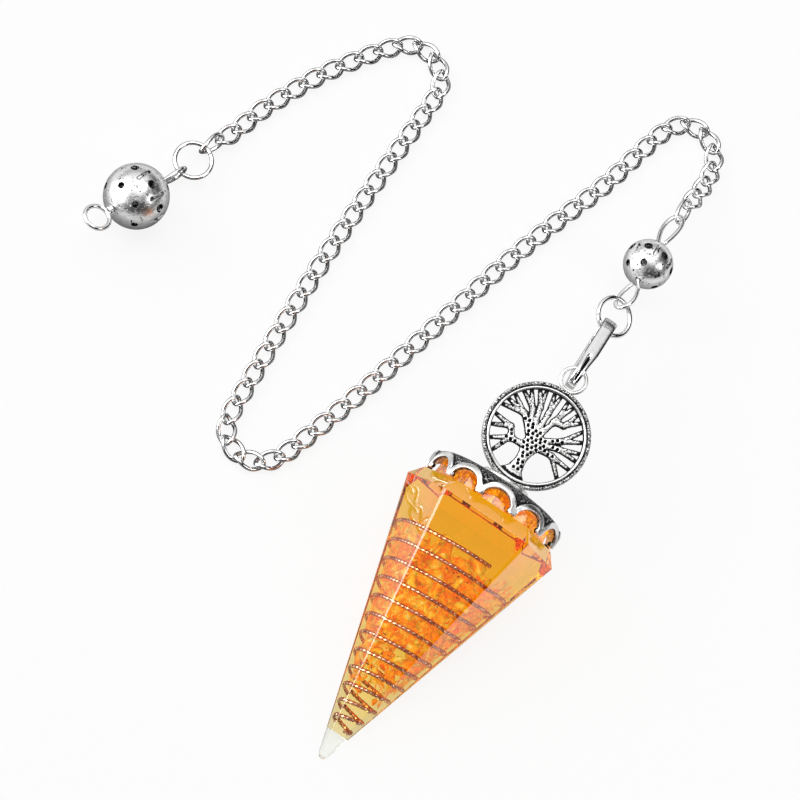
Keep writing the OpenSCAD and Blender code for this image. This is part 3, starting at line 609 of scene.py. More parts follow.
def silver_marks():
    """Node group: fine marks on plated or cast metal, and black where its mask is high: patina in the
    antiqued pieces' recesses, painted shade on the bright bail. The mask is a mesh attribute, and
    grains of it break up along its edge."""
    group = bpy.data.node_groups.new("silver_marks", "ShaderNodeTree")
    for way, kind, sockets in (("INPUT", "NodeSocketFloat", ("Scale", "Grain", "Shine")),
                               ("INPUT", "NodeSocketColor", ("Bright", "Dull", "Black")),
                               ("OUTPUT", "NodeSocketColor", ("Color",)),
                               ("OUTPUT", "NodeSocketFloat", ("Roughness", "Height"))):
        for socket in sockets:
            group.interface.new_socket(socket, in_out=way, socket_type=kind)

    def worked(operation, *values):
        """The output of a Math node on the values, in their order."""
        return output_of(group, "ShaderNodeMath", dict(enumerate(values)), operation=operation)

    given = add_node(group, "NodeGroupInput").outputs
    place = output_of(group, "ShaderNodeTexCoord", take="Object")
    tint_and_painted_light = output_of(group, "ShaderNodeAttribute", take="Fac", attribute_name="tint_and_painted_light")
    noise = output_of(group, "ShaderNodeTexNoise",
                      {"Vector": place, "Scale": given["Scale"], "Detail": 5.0, "Roughness": 0.65},
                      take="Fac")
    fine_scale = worked("MULTIPLY", given["Scale"], 3.1)
    fine_noise = output_of(group, "ShaderNodeTexNoise",
                           {"Vector": place, "Scale": fine_scale, "Detail": 3.0, "Roughness": 0.6},
                           take="Fac")
    centred = worked("SUBTRACT", fine_noise, 0.5)
    grain = worked("MULTIPLY_ADD", centred, given["Grain"], tint_and_painted_light)
    edge = output_of(group, "ShaderNodeMapRange", {0: grain, 1: 0.40, 2: 0.58})
    plain = output_of(group, "ShaderNodeMix", {"Factor": noise, 6: given["Bright"], 7: given["Dull"]},
                      take=2, data_type="RGBA")
    both = output_of(group, "ShaderNodeMix", {"Factor": edge, 6: plain, 7: given["Black"]},
                     take=2, data_type="RGBA")
    rough = worked("MULTIPLY_ADD", noise, 0.12, given["Shine"])
    worn = worked("MULTIPLY_ADD", edge, 0.35, rough)
    high = worked("SUBTRACT", noise, edge)
    add_node(group, "NodeGroupOutput", {"Color": both, "Roughness": worn, "Height": high})
    return group


marks_group = silver_marks()


def silver_material(name, bright, dull, shine, scale, grain, bump):
    """Metal with the marks group on its colour, roughness and bump."""
    material, tree, shader, out = new_material(name)
    marks = add_node(tree, "ShaderNodeGroup",
                     {"Scale": scale, "Bright": (*bright, 1.0), "Dull": (*dull, 1.0),
                      "Black": (*BLACK_PATINA_AND_SHADE, 1.0), "Grain": grain, "Shine": shine},
                     node_tree=marks_group).outputs
    lift = output_of(tree, "ShaderNodeBump",
                     {"Height": marks["Height"], "Strength": bump, "Distance": 0.0001})
    feed(shader, {"Metallic": 1.0, "Base Color": marks["Color"], "Roughness": marks["Roughness"],
                  "Normal": lift})
    return material


antique = silver_material("antique_silver", (0.93, 0.93, 0.92), (0.72, 0.72, 0.71),
                          shine=0.22, scale=1700.0, grain=1.1, bump=0.45)


def smooth_step(low, high, value):
    """0 below low, 1 above high, and an even S between them."""
    t = np.clip((value - low) / (high - low), 0, 1)
    return t * t * (3 - 2 * t)


def ball_shell(centre, radius):
    """A small round bead: rings of latitude from near one pole to the other."""
    count = 12
    u = np.linspace(0.08, math.pi - 0.08, count)[:, None]
    v = np.linspace(0, 2 * math.pi, 2 * count, endpoint=False)[None]
    grid = np.stack(np.broadcast_arrays(np.sin(u) * np.cos(v), np.sin(u) * np.sin(v), np.cos(u)), -1)
    outward = grid @ unit(centre * [1, 1, 0])
    return tube_shell(lay(grid * radius + centre), 1 - smooth_step(0.15, 0.55, outward))


PETAL_STEPS = 32
WALL_ROWS = 30
WALL_TOP = 0.93
PETAL_HALF = math.pi * (CAP_W + CAP_D) / 4 / PETALS
phase = np.linspace(-1, 1, PETAL_STEPS + 1)[:-1]
arch = ARCH_H * np.sqrt(np.clip(1 - (phase / FOOT_SHARE) ** 2, 0, 1))
rise = np.tile(np.where(np.abs(phase) >= FOOT_SHARE, 0, arch), PETALS)
cap_turn = np.concatenate([1.5 * math.pi + 2 * math.pi * (p + phase / 2) / PETALS for p in range(PETALS)])
cap_start = math.asin((CAP_HOLE / (CAP_W / 2)) ** (CAP_BEND / 2))
wall_z = rise + (WALL_TOP * CAP_H - rise) * np.linspace(0, 1, WALL_ROWS)[:, None]
wall_s = np.arccos((wall_z / CAP_H) ** (CAP_BEND / 2))
top_s = cap_start + (wall_s[-1] - cap_start) * np.linspace(1, 0, 10)[1:, None] ** 2
cap_s = np.concatenate([wall_s, top_s])
cap_r = np.sin(cap_s) ** (2 / CAP_BEND)
cap_z = np.clip(np.cos(cap_s), 0, 1) ** (2 / CAP_BEND)
# Distance from the arch, which is nearly a half circle, in the petal's own flat
arch_r = FOOT_SHARE * PETAL_HALF
from_arch = np.hypot(np.tile(phase, PETALS) * PETAL_HALF, cap_z * CAP_H * arch_r / ARCH_H) - arch_r
ribbon = smooth_step(0.0, 0.07, from_arch) * (1 - smooth_step(RIM_BAND - 0.12, RIM_BAND - 0.02, from_arch))
ridge = RIM_PROUD * ribbon
nr, nz = cap_r ** (CAP_BEND - 1) / (CAP_W / 2), cap_z ** (CAP_BEND - 1) / CAP_H
size = np.hypot(nr, nz)


def cap_skin(proud, rows=slice(None)):
    """Points of the cap's shape moved out by proud: a superellipse of revolution on an oval plan."""
    out, up = (cap_r * CAP_W / 2 + proud * nr / size)[rows], (cap_z * CAP_H + proud * nz / size)[rows]
    deep = (cap_r * CAP_D / 2 + proud * nr / size)[rows]
    return np.stack([np.cos(cap_turn) * out, np.sin(cap_turn) * deep, CAP_BASE + up], -1)


cap_grid = np.concatenate([cap_skin(ridge), cap_skin(-CAP_T)[::-3], cap_skin(-CAP_T, slice(0, 1))])
outline = np.exp(-((from_arch - RIM_BAND + 0.01) / 0.06) ** 2) + 0.6 * (1 - smooth_step(0.0, 0.04, from_arch))
ground = smooth_step(RIM_BAND - 0.05, RIM_BAND + 0.05, from_arch) * 0.50
cap_mask = np.clip(0.10 + ground + outline, 0, 1)
cap_mask[WALL_ROWS + 3:] = 0.38
cap_mask = np.concatenate([cap_mask, 0.3 + 0 * cap_mask[::-3], 0.3 + 0 * cap_mask[:1]])
foot_side = np.repeat([-1, 1], PETALS)
foot_turn = 1.5 * math.pi + 2 * math.pi * (np.tile(np.arange(PETALS), 2) + 0.5) / PETALS
foot_turn = foot_turn + foot_side * math.atan(FOOT_BEAD * 0.48 / (CAP_W / 2))
feet = np.stack([np.cos(foot_turn) * (CAP_W / 2 - CAP_T / 2), np.sin(foot_turn) * (CAP_D / 2 - CAP_T / 2),
                 0 * foot_turn + CAP_BASE + FOOT_BEAD / 2], -1)
cap_shells = [hoop_shell(lay(cap_grid), cap_mask)] + [ball_shell(at, FOOT_BEAD / 2) for at in feet]
make_piece("cap_casting", cap_shells, antique, "petal_cap")

# Tree charm. One cast piece: a round tree of life in a rim with a milled outer edge, a flange and a
# peg under it, and a loop on top. Its hollows are antiqued black, and pits mark the bark.
CHARM_D = 12.6
CHARM_RIM = 0.85
TREE_T = 1.1
FLANGE_GAP = 0.1
FLANGE_H = 0.5
FLANGE_D = 6.0
POST_L = 4.0
LOOP_D = 3.4
LOOP_WIRE = 0.48
CHARM_SINK = 0.12
LOOP_SINK = 0.22
LIMBS = [
    [-0.08, -0.30, -0.45, -0.33, 232, 215, 2],
    [-0.42, -0.32, -0.56, -0.12, 199, 184, 2],
    [-0.14, -0.06, -0.47, 0.26, 171, 150, 3],
    [-0.20, 0.04, -0.38, 0.44, 139, 129, 2],
    [-0.12, 0.02, -0.26, 0.54, 119, 110, 2],
    [-0.04, 0.00, -0.05, 0.52, 100, 91, 2],
    [0.02, -0.02, 0.17, 0.54, 81, 71, 2],
    [0.14, 0.46, 0.36, 0.50, 61, 50, 2],
    [0.06, -0.08, 0.50, 0.20, 40, 26, 2],
    [0.10, -0.14, 0.53, 0.03, 12, 1, 2],
    [0.08, -0.22, 0.50, -0.17, -12, -31, 2],
]
LIMB_W = 0.15
FORK_W = 0.11
TWIG_W = 0.08
TRUNK = [(0.30, -0.97), (0.15, -0.80), (0.11, -0.60), (0.13, -0.42), (0.19, -0.25), (0.16, -0.05),
         (0.06, 0.06)]
MELT = 0.10
TREE_CELL = 0.075
PIT_R = 0.19
PIT_PITCH = 0.56
MILLS = 132
MILL_DEEP = 0.02
MILL_FROM = 5.93

TREE_R = CHARM_D / 2 - CHARM_RIM
FLANGE_Z = CAP_BASE + CAP_H + FLANGE_GAP
CHARM_Z = FLANGE_Z + FLANGE_H + CHARM_D / 2 - CHARM_SINK
LOOP_Z = CHARM_Z + CHARM_D / 2 + LOOP_D / 2 - LOOP_SINK

strokes = []
for x0, y0, x1, y1, turn_first, turn_last, twigs in LIMBS:
    strokes.append((x0, y0, x1, y1, LIMB_W, FORK_W))
    for turn in np.radians(np.linspace(turn_first, turn_last, twigs)):
        strokes.append((x1, y1, 1.03 * math.cos(turn), 1.03 * math.sin(turn), FORK_W, TWIG_W))
for (w0, y0), (w1, y1) in zip(TRUNK, TRUNK[1:]):
    strokes.append((0, y0, 0, y1, 2 * w0, 2 * w1))
strokes = np.array(strokes) * TREE_R


def limb_field(at):
    """How deep a point of the tree's plane is inside the metal, in millimetres, and how high the
    limbs' round backs rise there, from 0 to 1. Each limb is a tapering capsule, and they melt into
    each other as the logarithm of a sum of exponents does."""
    start, end = strokes[:, 0:2], strokes[:, 2:4]
    span = end - start
    share = np.clip(np.einsum("...nk,nk->...n", at[..., None, :] - start, span) / (span ** 2).sum(1), 0, 1)
    away = np.linalg.norm(at[..., None, :] - start - share[..., None] * span, axis=-1)
    half = (strokes[:, 4] + share * (strokes[:, 5] - strokes[:, 4])) / 2
    inside = half - away
    top = inside.max(-1)
    deep = top + MELT * np.log(np.exp((inside - top[..., None]) / MELT).sum(-1))
    back = np.sqrt(np.clip(1 - (away / (half + 0.05)) ** 2, 0, 1)) * np.clip(half / 0.5, 0.55, 1.0)
    return deep, back.max(-1)


def pierced_sheet(front, back, deep, loop_cols, masks):
    """A sheet with openings: front and back grids of the same points, joined by walls wherever a kept
    cell meets a cut one or the border. A cell is kept where deep, its depth in metal, is above 0."""
    rows, cols = deep.shape
    c = np.arange(cols if loop_cols else cols - 1)
    r = np.arange(rows - 1)[:, None]
    c2 = (c + 1) % cols
    value = deep[r, c] + deep[r + 1, c] + deep[r, c2] + deep[r + 1, c2]
    keep = value > 0
    quad = strip_faces(rows, cols, loop_cols=loop_cols).reshape(rows - 1, -1, 4)
    wide = np.pad(keep, 1)
    if loop_cols:
        wide[:, 0], wide[:, -1] = wide[:, -2], wide[:, 1]
    open_beside = [~wide[1:-1, :-2], ~wide[2:, 1:-1], ~wide[1:-1, 2:], ~wide[:-2, 1:-1]]
    shift = rows * cols
    faces = [quad[keep], quad[keep][:, ::-1] + shift]
    for k, bare in enumerate(open_beside):
        edge = quad[keep & bare]
        a, b = edge[:, k], edge[:, (k + 1) % 4]
        faces.append(np.stack([b, a, a + shift, b + shift], -1))
    faces = np.concatenate(faces)
    used, faces_new = np.unique(faces, return_inverse=True)
    points = np.concatenate([front.reshape(-1, 3), back.reshape(-1, 3)])[used]
    return points, faces_new.reshape(-1, 4).tolist(), np.concatenate([np.ravel(m) for m in masks])[used]


steps = int(2 * (TREE_R + 0.2) / TREE_CELL)
line = np.linspace(-(TREE_R + 0.2), TREE_R + 0.2, steps)
flat = np.stack(np.meshgrid(line, line, indexing="ij"), -1)
deep, _ = limb_field(flat)
slope = np.stack(np.gradient(deep, line, line), -1)
snap = (np.abs(deep) < TREE_CELL * 0.55)[..., None]
steep = np.maximum((slope ** 2).sum(-1, keepdims=True), 0.25)
flat = flat - np.where(snap, deep[..., None] * slope / steep, 0)
deep = np.where(snap[..., 0], 0, deep)
far_out = np.hypot(flat[..., 0], flat[..., 1])
deep = np.where(far_out > TREE_R + 0.18, -1.0, deep)
inner, back = limb_field(flat)

pit_row, pit_col = np.meshgrid(np.arange(-9, 3), np.arange(-5, 6), indexing="ij")
pits = np.stack([(pit_col + 0.5 * (pit_row % 2)) * PIT_PITCH, pit_row * PIT_PITCH * 0.866], -1).reshape(-1, 2)
pits = pits + 0.07 * np.sin(pits[:, ::-1] * 7.3 + 1.1)
pits = pits[limb_field(pits)[0] > PIT_R * 1.1]
to_pit = np.linalg.norm(flat[..., None, :] - pits, axis=-1).min(-1)
pit = 1 - smooth_step(PIT_R * 0.70, PIT_R * 1.15, to_pit)
pit_ring = np.exp(-((to_pit - PIT_R * 1.35) / 0.07) ** 2)
half_thick = TREE_T / 2 * np.clip(0.46 + 0.48 * back + 0.10 * pit_ring - 0.45 * pit, 0.1, 1.0)
tree_mask = 0.95 * (1 - smooth_step(0.02, 0.11, inner)) + pit + 0.35
tree_mask = tree_mask + 0.20 * (1 - smooth_step(0.2, 0.85, back)) - 0.3 * pit_ring
tree_mask = np.clip(tree_mask + smooth_step(TREE_R - 0.55, TREE_R - 0.15, far_out) * 0.55, 0, 1)
tree_front = lay(np.stack([flat[..., 0], -half_thick, flat[..., 1] + CHARM_Z], -1))
tree_back = lay(np.stack([flat[..., 0], half_thick, flat[..., 1] + CHARM_Z], -1))
tree_shell = pierced_sheet(tree_front, tree_back, deep, False, [tree_mask, np.clip(tree_mask + 0.1, 0, 1)])

# The rim's section, from the inner bead round to the milled outer band: radius, height and mask
RIM_SECTION = np.array([
    (5.38, 0.00, 0.9), (5.38, 0.30, 0.9), (5.40, 0.50, 0.7), (5.46, 0.66, 0.25), (5.56, 0.74, 0.1),
    (5.66, 0.73, 0.1), (5.74, 0.66, 0.3), (5.78, 0.54, 0.9), (5.83, 0.54, 0.9), (5.89, 0.62, 0.55),
    (5.98, 0.68, 0.52), (6.10, 0.68, 0.50), (6.22, 0.62, 0.50), (6.29, 0.50, 0.45), (6.30, 0.34, 0.30),
    (6.30, 0.17, 0.3), (6.30, 0.00, 0.5)])
section = np.concatenate([RIM_SECTION, (RIM_SECTION * [1, -1, 1])[-2:0:-1]])
rim_turn = np.linspace(0, 2 * math.pi, MILLS * 4, endpoint=False)[:, None]
milled = section[:, 0] > MILL_FROM
milling = MILL_DEEP * np.sin(MILLS * rim_turn + 2.5 * section[:, 1]) * milled
rim_r = section[:, 0] - np.abs(milling) * 0.7 - 0.02 * (section[:, 0] > 6.2)
rim_y = section[:, 1] * (1 - 0.6 * np.abs(milling))
rim_grid = np.stack([rim_r * np.cos(rim_turn), -rim_y + 0 * rim_turn, rim_r * np.sin(rim_turn) + CHARM_Z], -1)
rim_mask = np.clip(section[:, 2] - milling * 2.5 * milled, 0, 1)
rim_shell = hoop_shell(lay(rim_grid), rim_mask)


def ring_path(radius, centre, first, second, count, gap=0.0):
    """Points round a circle spanned by two directions, from just after to just before its cut."""
    t = np.linspace(gap, 2 * math.pi - gap, count, endpoint=gap > 0)[:, None]
    return np.asarray(centre) + radius * (np.cos(t) * np.asarray(first) + np.sin(t) * np.asarray(second))


def lathe_shell(outline, centre_z):
    """A turned form on the pendant's axis: radius and height outline, carried round."""
    t = np.linspace(0, 2 * math.pi, 48, endpoint=False)
    radius, height = np.moveaxis(np.asarray(outline, float)[:, None], -1, 0)
    grid = np.stack(np.broadcast_arrays(radius * np.cos(t), radius * np.sin(t), height + centre_z), -1)
    return tube_shell(lay(grid), np.full(grid.shape[:2], 0.2))


flange_r, foot = FLANGE_D / 2, POST_D / 2
flange_outline = [(0.1, 0), (flange_r - 0.12, 0), (flange_r, 0.10), (flange_r, FLANGE_H - 0.14),
                  (flange_r - 0.12, FLANGE_H), (0.1, FLANGE_H)]
post_outline = [(0.1, -POST_L), (foot - 0.1, -POST_L), (foot, 0.1 - POST_L), (foot, 0.2), (0.1, 0.2)]
loop_line = ring_path((LOOP_D - LOOP_WIRE) / 2, (0, 0, LOOP_Z), (1, 0, 0), (0, 0, 1), 96)
loop_grid = sweep(loop_line, (0, 1, 0), round_profile(LOOP_WIRE, 16), closed=True)
loop_shell = hoop_shell(lay(loop_grid), np.full(loop_grid.shape[:2], 0.12))
charm_shells = [tree_shell, rim_shell, lathe_shell(flange_outline, FLANGE_Z),
                lathe_shell(post_outline, FLANGE_Z), loop_shell]
make_piece("charm_casting", charm_shells, antique, "tree_charm")

# Bail. A bright band, folded into a long oval link and soldered shut. It narrows to pass through the
# charm's loop and has a slot in its front strand there.
BAIL_L = 10.7
BAIL_H = 4.0
BAIL_W = 1.6
BAIL_NECK = 1.1
BAIL_T = 0.6
BAIL_SLOPE = math.radians(16)

silver = silver_material("bright_silver", (0.90, 0.90, 0.90), (0.78, 0.78, 0.78),
                         shine=0.05, scale=1500.0, grain=0.3, bump=0.12)


def upright_at(run, rise):
    """A point of the upright plane that the pendant lies in, from its distance along and height."""
    return np.array([run * math.cos(LIE_HEADING), run * math.sin(LIE_HEADING), rise])

def placed(points, at, heading, slope, roll=0.0):
    """Points whose length runs along x, put at a point, turned to a heading, sloped down and rolled."""
    x_dir = aim(heading, slope)
    left = np.array([-math.sin(heading), math.cos(heading), 0.0])
    up = np.cross(x_dir, left)
    y_dir = left * math.cos(roll) + up * math.sin(roll)
    z_dir = up * math.cos(roll) - left * math.sin(roll)
    x, y, z = np.moveaxis(np.asarray(points, float), -1, 0)
    return at + x[..., None] * x_dir + y[..., None] * y_dir + z[..., None] * z_dir


loop_run = REST_POINT - GIRDLE_D * math.sin(LEAN) + LOOP_Z * math.cos(LEAN)
loop_rise = GIRDLE_D * math.cos(LEAN) + LOOP_Z * math.sin(LEAN)
bail_flat = np.array([loop_run - 0.75, loop_rise + 0.2])
end_r = BAIL_H / 2
mid_r = end_r - BAIL_T / 2
straight = BAIL_L - BAIL_H
bail_arc = np.linspace(0, math.pi, 26)
strand = straight * np.linspace(0, 1, 40)[1:-1]
bail_x = np.concatenate([end_r - mid_r * np.sin(bail_arc), end_r + strand,
                         BAIL_L - end_r + mid_r * np.sin(bail_arc), BAIL_L - end_r - strand])
level = np.full(len(strand), mid_r)
bail_z = np.concatenate([-mid_r * np.cos(bail_arc), level, mid_r * np.cos(bail_arc), -level])
bail_width = BAIL_NECK + (BAIL_W - BAIL_NECK) * smooth_step(end_r * 0.5, BAIL_L * 0.42, bail_x)
v = np.linspace(-1, 1, 17)
slot_here = (1 - smooth_step(BAIL_L * 0.30, BAIL_L * 0.36, bail_x)) * (bail_z > 0)
slot_here = slot_here * smooth_step(0.3, 0.6, bail_x)
crown = 1 - 0.35 * np.abs(v) ** 5
slot_cut = np.exp(-(v / 0.22) ** 4)[None] * slot_here[:, None]
bail_path = np.stack([bail_x, 0 * bail_x, bail_z], -1)
out_dir = unit(np.cross(unit(np.roll(bail_path, -1, 0) - np.roll(bail_path, 1, 0)), [0.0, 1.0, 0.0]))
bail_y = bail_width[:, None] / 2 * v
outer = bail_path[:, None] + out_dir[:, None] * (BAIL_T / 2 * (crown - 1.5 * slot_cut))[..., None]
inner_side = bail_path[:, None] - out_dir[:, None] * (BAIL_T / 2 * (0.8 + 0.2 * crown))[..., None]
outer[..., 1], inner_side[..., 1] = bail_y, bail_y
bail_grid = np.concatenate([outer, inner_side[:, ::-1]], 1)
# Painted shade: the band's edges past the neck are painted dark.
painted_edge_shade = 0.85 * smooth_step(0.84, 0.92, np.abs(v))[None]
painted_edge_shade = painted_edge_shade * smooth_step(0.25, 0.40, bail_x / BAIL_L)[:, None]
# Painted shade: the band's end round the pendant's ring is painted darker.
ring_end_shade = 0.47 * smooth_step(0.72, 0.78, bail_x / BAIL_L)[:, None] * (np.abs(v) < 0.8)[None]
# The mask paints the slot dark as well: painted shade.
bail_mask = np.concatenate([np.maximum(slot_cut, painted_edge_shade + ring_end_shade), 0 * slot_cut], 1)
bail_at = upright_at(*bail_flat)
make_piece("bail_band", [hoop_shell(placed(bail_grid, bail_at, LIE_HEADING, BAIL_SLOPE), bail_mask)],
           silver, "bail_link")

# Jump rings. Bright round wire, bent round and closed with a butt cut. One joins the bail to the
# small bead's pin, the other joins the chain to the large bead's pin.
RING_B_D = 5.1
RING_B_WIRE = 0.55
RING_A_D = 4.9
RING_A_WIRE = 0.5
RING_CUT = 0.012
RING_B_SLOPE = math.radians(6)
RING_B_ROLL = math.radians(22)
RING_A_HEADING = math.radians(46)
RING_A_Z = 1.5
PIN_WIRE = 0.5
LARGE_BEAD_D = 7.8
EYE_A_L = 4.2
LARGE_BEAD_AT = np.array([-32.5, 48.0, LARGE_BEAD_D / 2])
PIN_A_HEADING = math.radians(36.5)


def jump_ring(name, radius, wire, at, heading, slope, roll, cut_turn, node):
    """A closed ring of wire with a fine cut, which lies level before it is placed."""
    first = (math.cos(cut_turn), math.sin(cut_turn), 0)
    second = (-math.sin(cut_turn), math.cos(cut_turn), 0)
    line = ring_path(radius, (0, 0, 0), first, second, 128, RING_CUT)
    grid = sweep(line, (0, 0, 1), round_profile(wire, 20))
    make_piece(name, [tube_shell(placed(grid, at, heading, slope, roll))], silver, node)


ring_b_r = (RING_B_D - RING_B_WIRE) / 2
inner_r = ring_b_r - RING_B_WIRE / 2
bow = inner_r - math.sqrt(inner_r ** 2 - BAIL_W ** 2 / 4)
ring_b_seat = BAIL_T + RING_B_WIRE / 2 + bow + 3 * SEAT_GAP
ring_b_flat = bail_flat + (BAIL_L - ring_b_seat) * np.array([math.cos(BAIL_SLOPE), -math.sin(BAIL_SLOPE)])
ring_b_dir = np.array([math.cos(RING_B_SLOPE), -math.sin(RING_B_SLOPE)])
ring_b_flat = ring_b_flat + ring_b_r * ring_b_dir
jump_ring("ring_pendant", ring_b_r, RING_B_WIRE, upright_at(*ring_b_flat), LIE_HEADING, RING_B_SLOPE,
          RING_B_ROLL, 2.2, "jump_ring_pendant")

ring_a_r = (RING_A_D - RING_A_WIRE) / 2
ring_a_reach = LARGE_BEAD_D / 2 + EYE_A_L - PIN_WIRE - RING_A_WIRE / 2 - SEAT_GAP
pin_a_slope = math.asin((LARGE_BEAD_D / 2 - RING_A_Z) / ring_a_reach)
pin_a_dir = aim(PIN_A_HEADING, pin_a_slope)
ring_a_at = LARGE_BEAD_AT + ring_a_reach * pin_a_dir + ring_a_r * aim(RING_A_HEADING, 0)
jump_ring("ring_holder", ring_a_r, RING_A_WIRE, ring_a_at, 0.0, 0.0, 0.0, 0.4, "jump_ring_holder")

# Eye pins. Bright wire through each bead, bent into long teardrop eyes. The large bead's pin ends in
# a wrapped collar and a round loop, which is the holder's end.
EYE_W = 2.8
EYE_OPEN = 0.88
EYE_POINTS = 64
# Largest value of sin a times sin a / 2, by which the teardrop's width is divided
EYE_SWELL = 0.77
SHANK_POINTS = 8
WRAP_TURNS = 2.6
WRAP_R = 0.42
WRAP_WIRE = 0.34
EYE_B1_L = 5.4
EYE_B2_L = 6.4
SMALL_BEAD_D = 6.0
HOOK = 0.84
PIN_B_SLOPE = math.radians(18)
PIN_B_TURN = math.radians(-0.4)
EYE_B1_ROLL = math.radians(-46)
EYE_B2_ROLL = math.radians(-42)
END_LOOP_D = 3.5
COLLAR_L = 0.7
SOLDER = 0.08


def eye_curve(share, length):
    """Teardrop of bent wire from its neck at x 0: x goes out and back as 1 - cos, y swells as
    sin times the sine of the half angle."""
    a = 2 * math.pi * share
    side = (EYE_W - PIN_WIRE) / 2 / EYE_SWELL * np.sin(a) * np.sin(a / 2)
    return np.stack([length * (1 - np.cos(a)) / 2, side, 0 * a], -1)


def seated(points, x, roll):
    """Moves an eye along the pin and rolls it."""
    return np.stack([points[:, 0] + x, points[:, 1] * math.cos(roll), points[:, 1] * math.sin(roll)], -1)


def pin_grid(path, roll):
    """Round wire along a pin's path, with its ends rounded over."""
    grid = sweep(path, np.stack([0 * roll, -np.sin(roll), np.cos(roll)], -1), round_profile(PIN_WIRE, 16))
    middle = grid.mean(1, keepdims=True)
    shrink = np.ones(len(path))
    shrink[[0, -1]] = 0.55
    return middle + (grid - middle) * shrink[:, None, None]


def shank(start, end):
    """Points of the straight wire through a bead."""
    return [[x, 0, 0] for x in np.linspace(start, end, SHANK_POINTS)]


eye_steps = EYE_OPEN * np.linspace(0.01, 1, EYE_POINTS)
small_r = SMALL_BEAD_D / 2
eye_out = eye_curve(eye_steps[::-1], EYE_B1_L - PIN_WIRE / 2) * [-1, -1, 1]
eye_b1 = seated(eye_out, -small_r, EYE_B1_ROLL)
eye_b2 = seated(eye_curve(eye_steps, EYE_B2_L - PIN_WIRE / 2), small_r, EYE_B2_ROLL)
pin_b_path = np.concatenate([eye_b1, shank(-small_r, small_r), eye_b2])
pin_b_roll = np.concatenate([np.full(EYE_POINTS, EYE_B1_ROLL),
                             np.linspace(EYE_B1_ROLL, EYE_B2_ROLL, SHANK_POINTS),
                             np.full(EYE_POINTS, EYE_B2_ROLL)])
ring_b_far = ring_b_flat + ring_b_r * ring_b_dir
eye_b1_at = ring_b_far - HOOK * ring_b_dir
pin_b_heading = LIE_HEADING + PIN_B_TURN
pin_b_dir = aim(pin_b_heading, PIN_B_SLOPE)
small_bead_at = upright_at(*eye_b1_at) + (small_r + EYE_B1_L - PIN_WIRE / 2) * pin_b_dir
small_pin = placed(pin_grid(pin_b_path, pin_b_roll), small_bead_at, pin_b_heading, PIN_B_SLOPE)
make_piece("small_bead_wire", [tube_shell(small_pin)], silver, "small_bead_pin")

large_r = LARGE_BEAD_D / 2
eye_a = seated(eye_curve(eye_steps, EYE_A_L - PIN_WIRE / 2), large_r, math.pi / 2)
pin_a_path = np.concatenate([shank(-large_r - COLLAR_L / 2, large_r), eye_a])
pin_a_grid = pin_grid(pin_a_path, np.full(len(pin_a_path), math.pi / 2))
wrap = np.linspace(0, 1, 90)
wrap_turn = 2 * math.pi * WRAP_TURNS * wrap
wrap_x = -large_r - SEAT_GAP - 0.16 - (COLLAR_L - SEAT_GAP - 0.30) * wrap
wrap_path = np.stack([wrap_x, WRAP_R * np.cos(wrap_turn), WRAP_R * np.sin(wrap_turn)], -1)
wrap_grid = sweep(wrap_path, wrap_path * [0, 1, 1], round_profile(WRAP_WIRE, 10))
end_loop_r = (END_LOOP_D - PIN_WIRE) / 2
end_loop_x = -(large_r + COLLAR_L + end_loop_r + PIN_WIRE / 2 - SOLDER)
end_loop = sweep(ring_path(end_loop_r, (end_loop_x, 0, 0), (1, 0, 0), (0, 1, 0), 110), (0, 0, 1),
                 round_profile(PIN_WIRE, 18), closed=True)
holder_shells = [shape(placed(grid, LARGE_BEAD_AT, PIN_A_HEADING, pin_a_slope))
                 for shape, grid in ((tube_shell, pin_a_grid), (tube_shell, wrap_grid),
                                     (hoop_shell, end_loop))]
make_piece("large_bead_wire", holder_shells, silver, "large_bead_pin")

# Pierced beads. Thin shells of plated alloy, pressed and soldered, with rows of round holes and a
# short groove between each two at the middle. They are strung on the eye pins.
BEAD_WALL = 0.4
BEAD_HOLE = 0.9
PIN_GAP = 0.15
BEAD_BORE = PIN_WIRE + 2 * PIN_GAP
BEAD_ROWS = 150
BEAD_COLS = 300
# Holes round the middle, and at each side of it how many, how far off and turned by how much
MIDDLE_HOLES = 8
SIDE_HOLES = 6
SIDE_TIP = 43
SIDE_TURN = 22
SLOT_DEEP = 0.14

bead_silver = silver_material("bead_silver", (0.97, 0.97, 0.96), (0.72, 0.72, 0.73),
                              shine=0.24, scale=800.0, grain=2.1, bump=0.7)


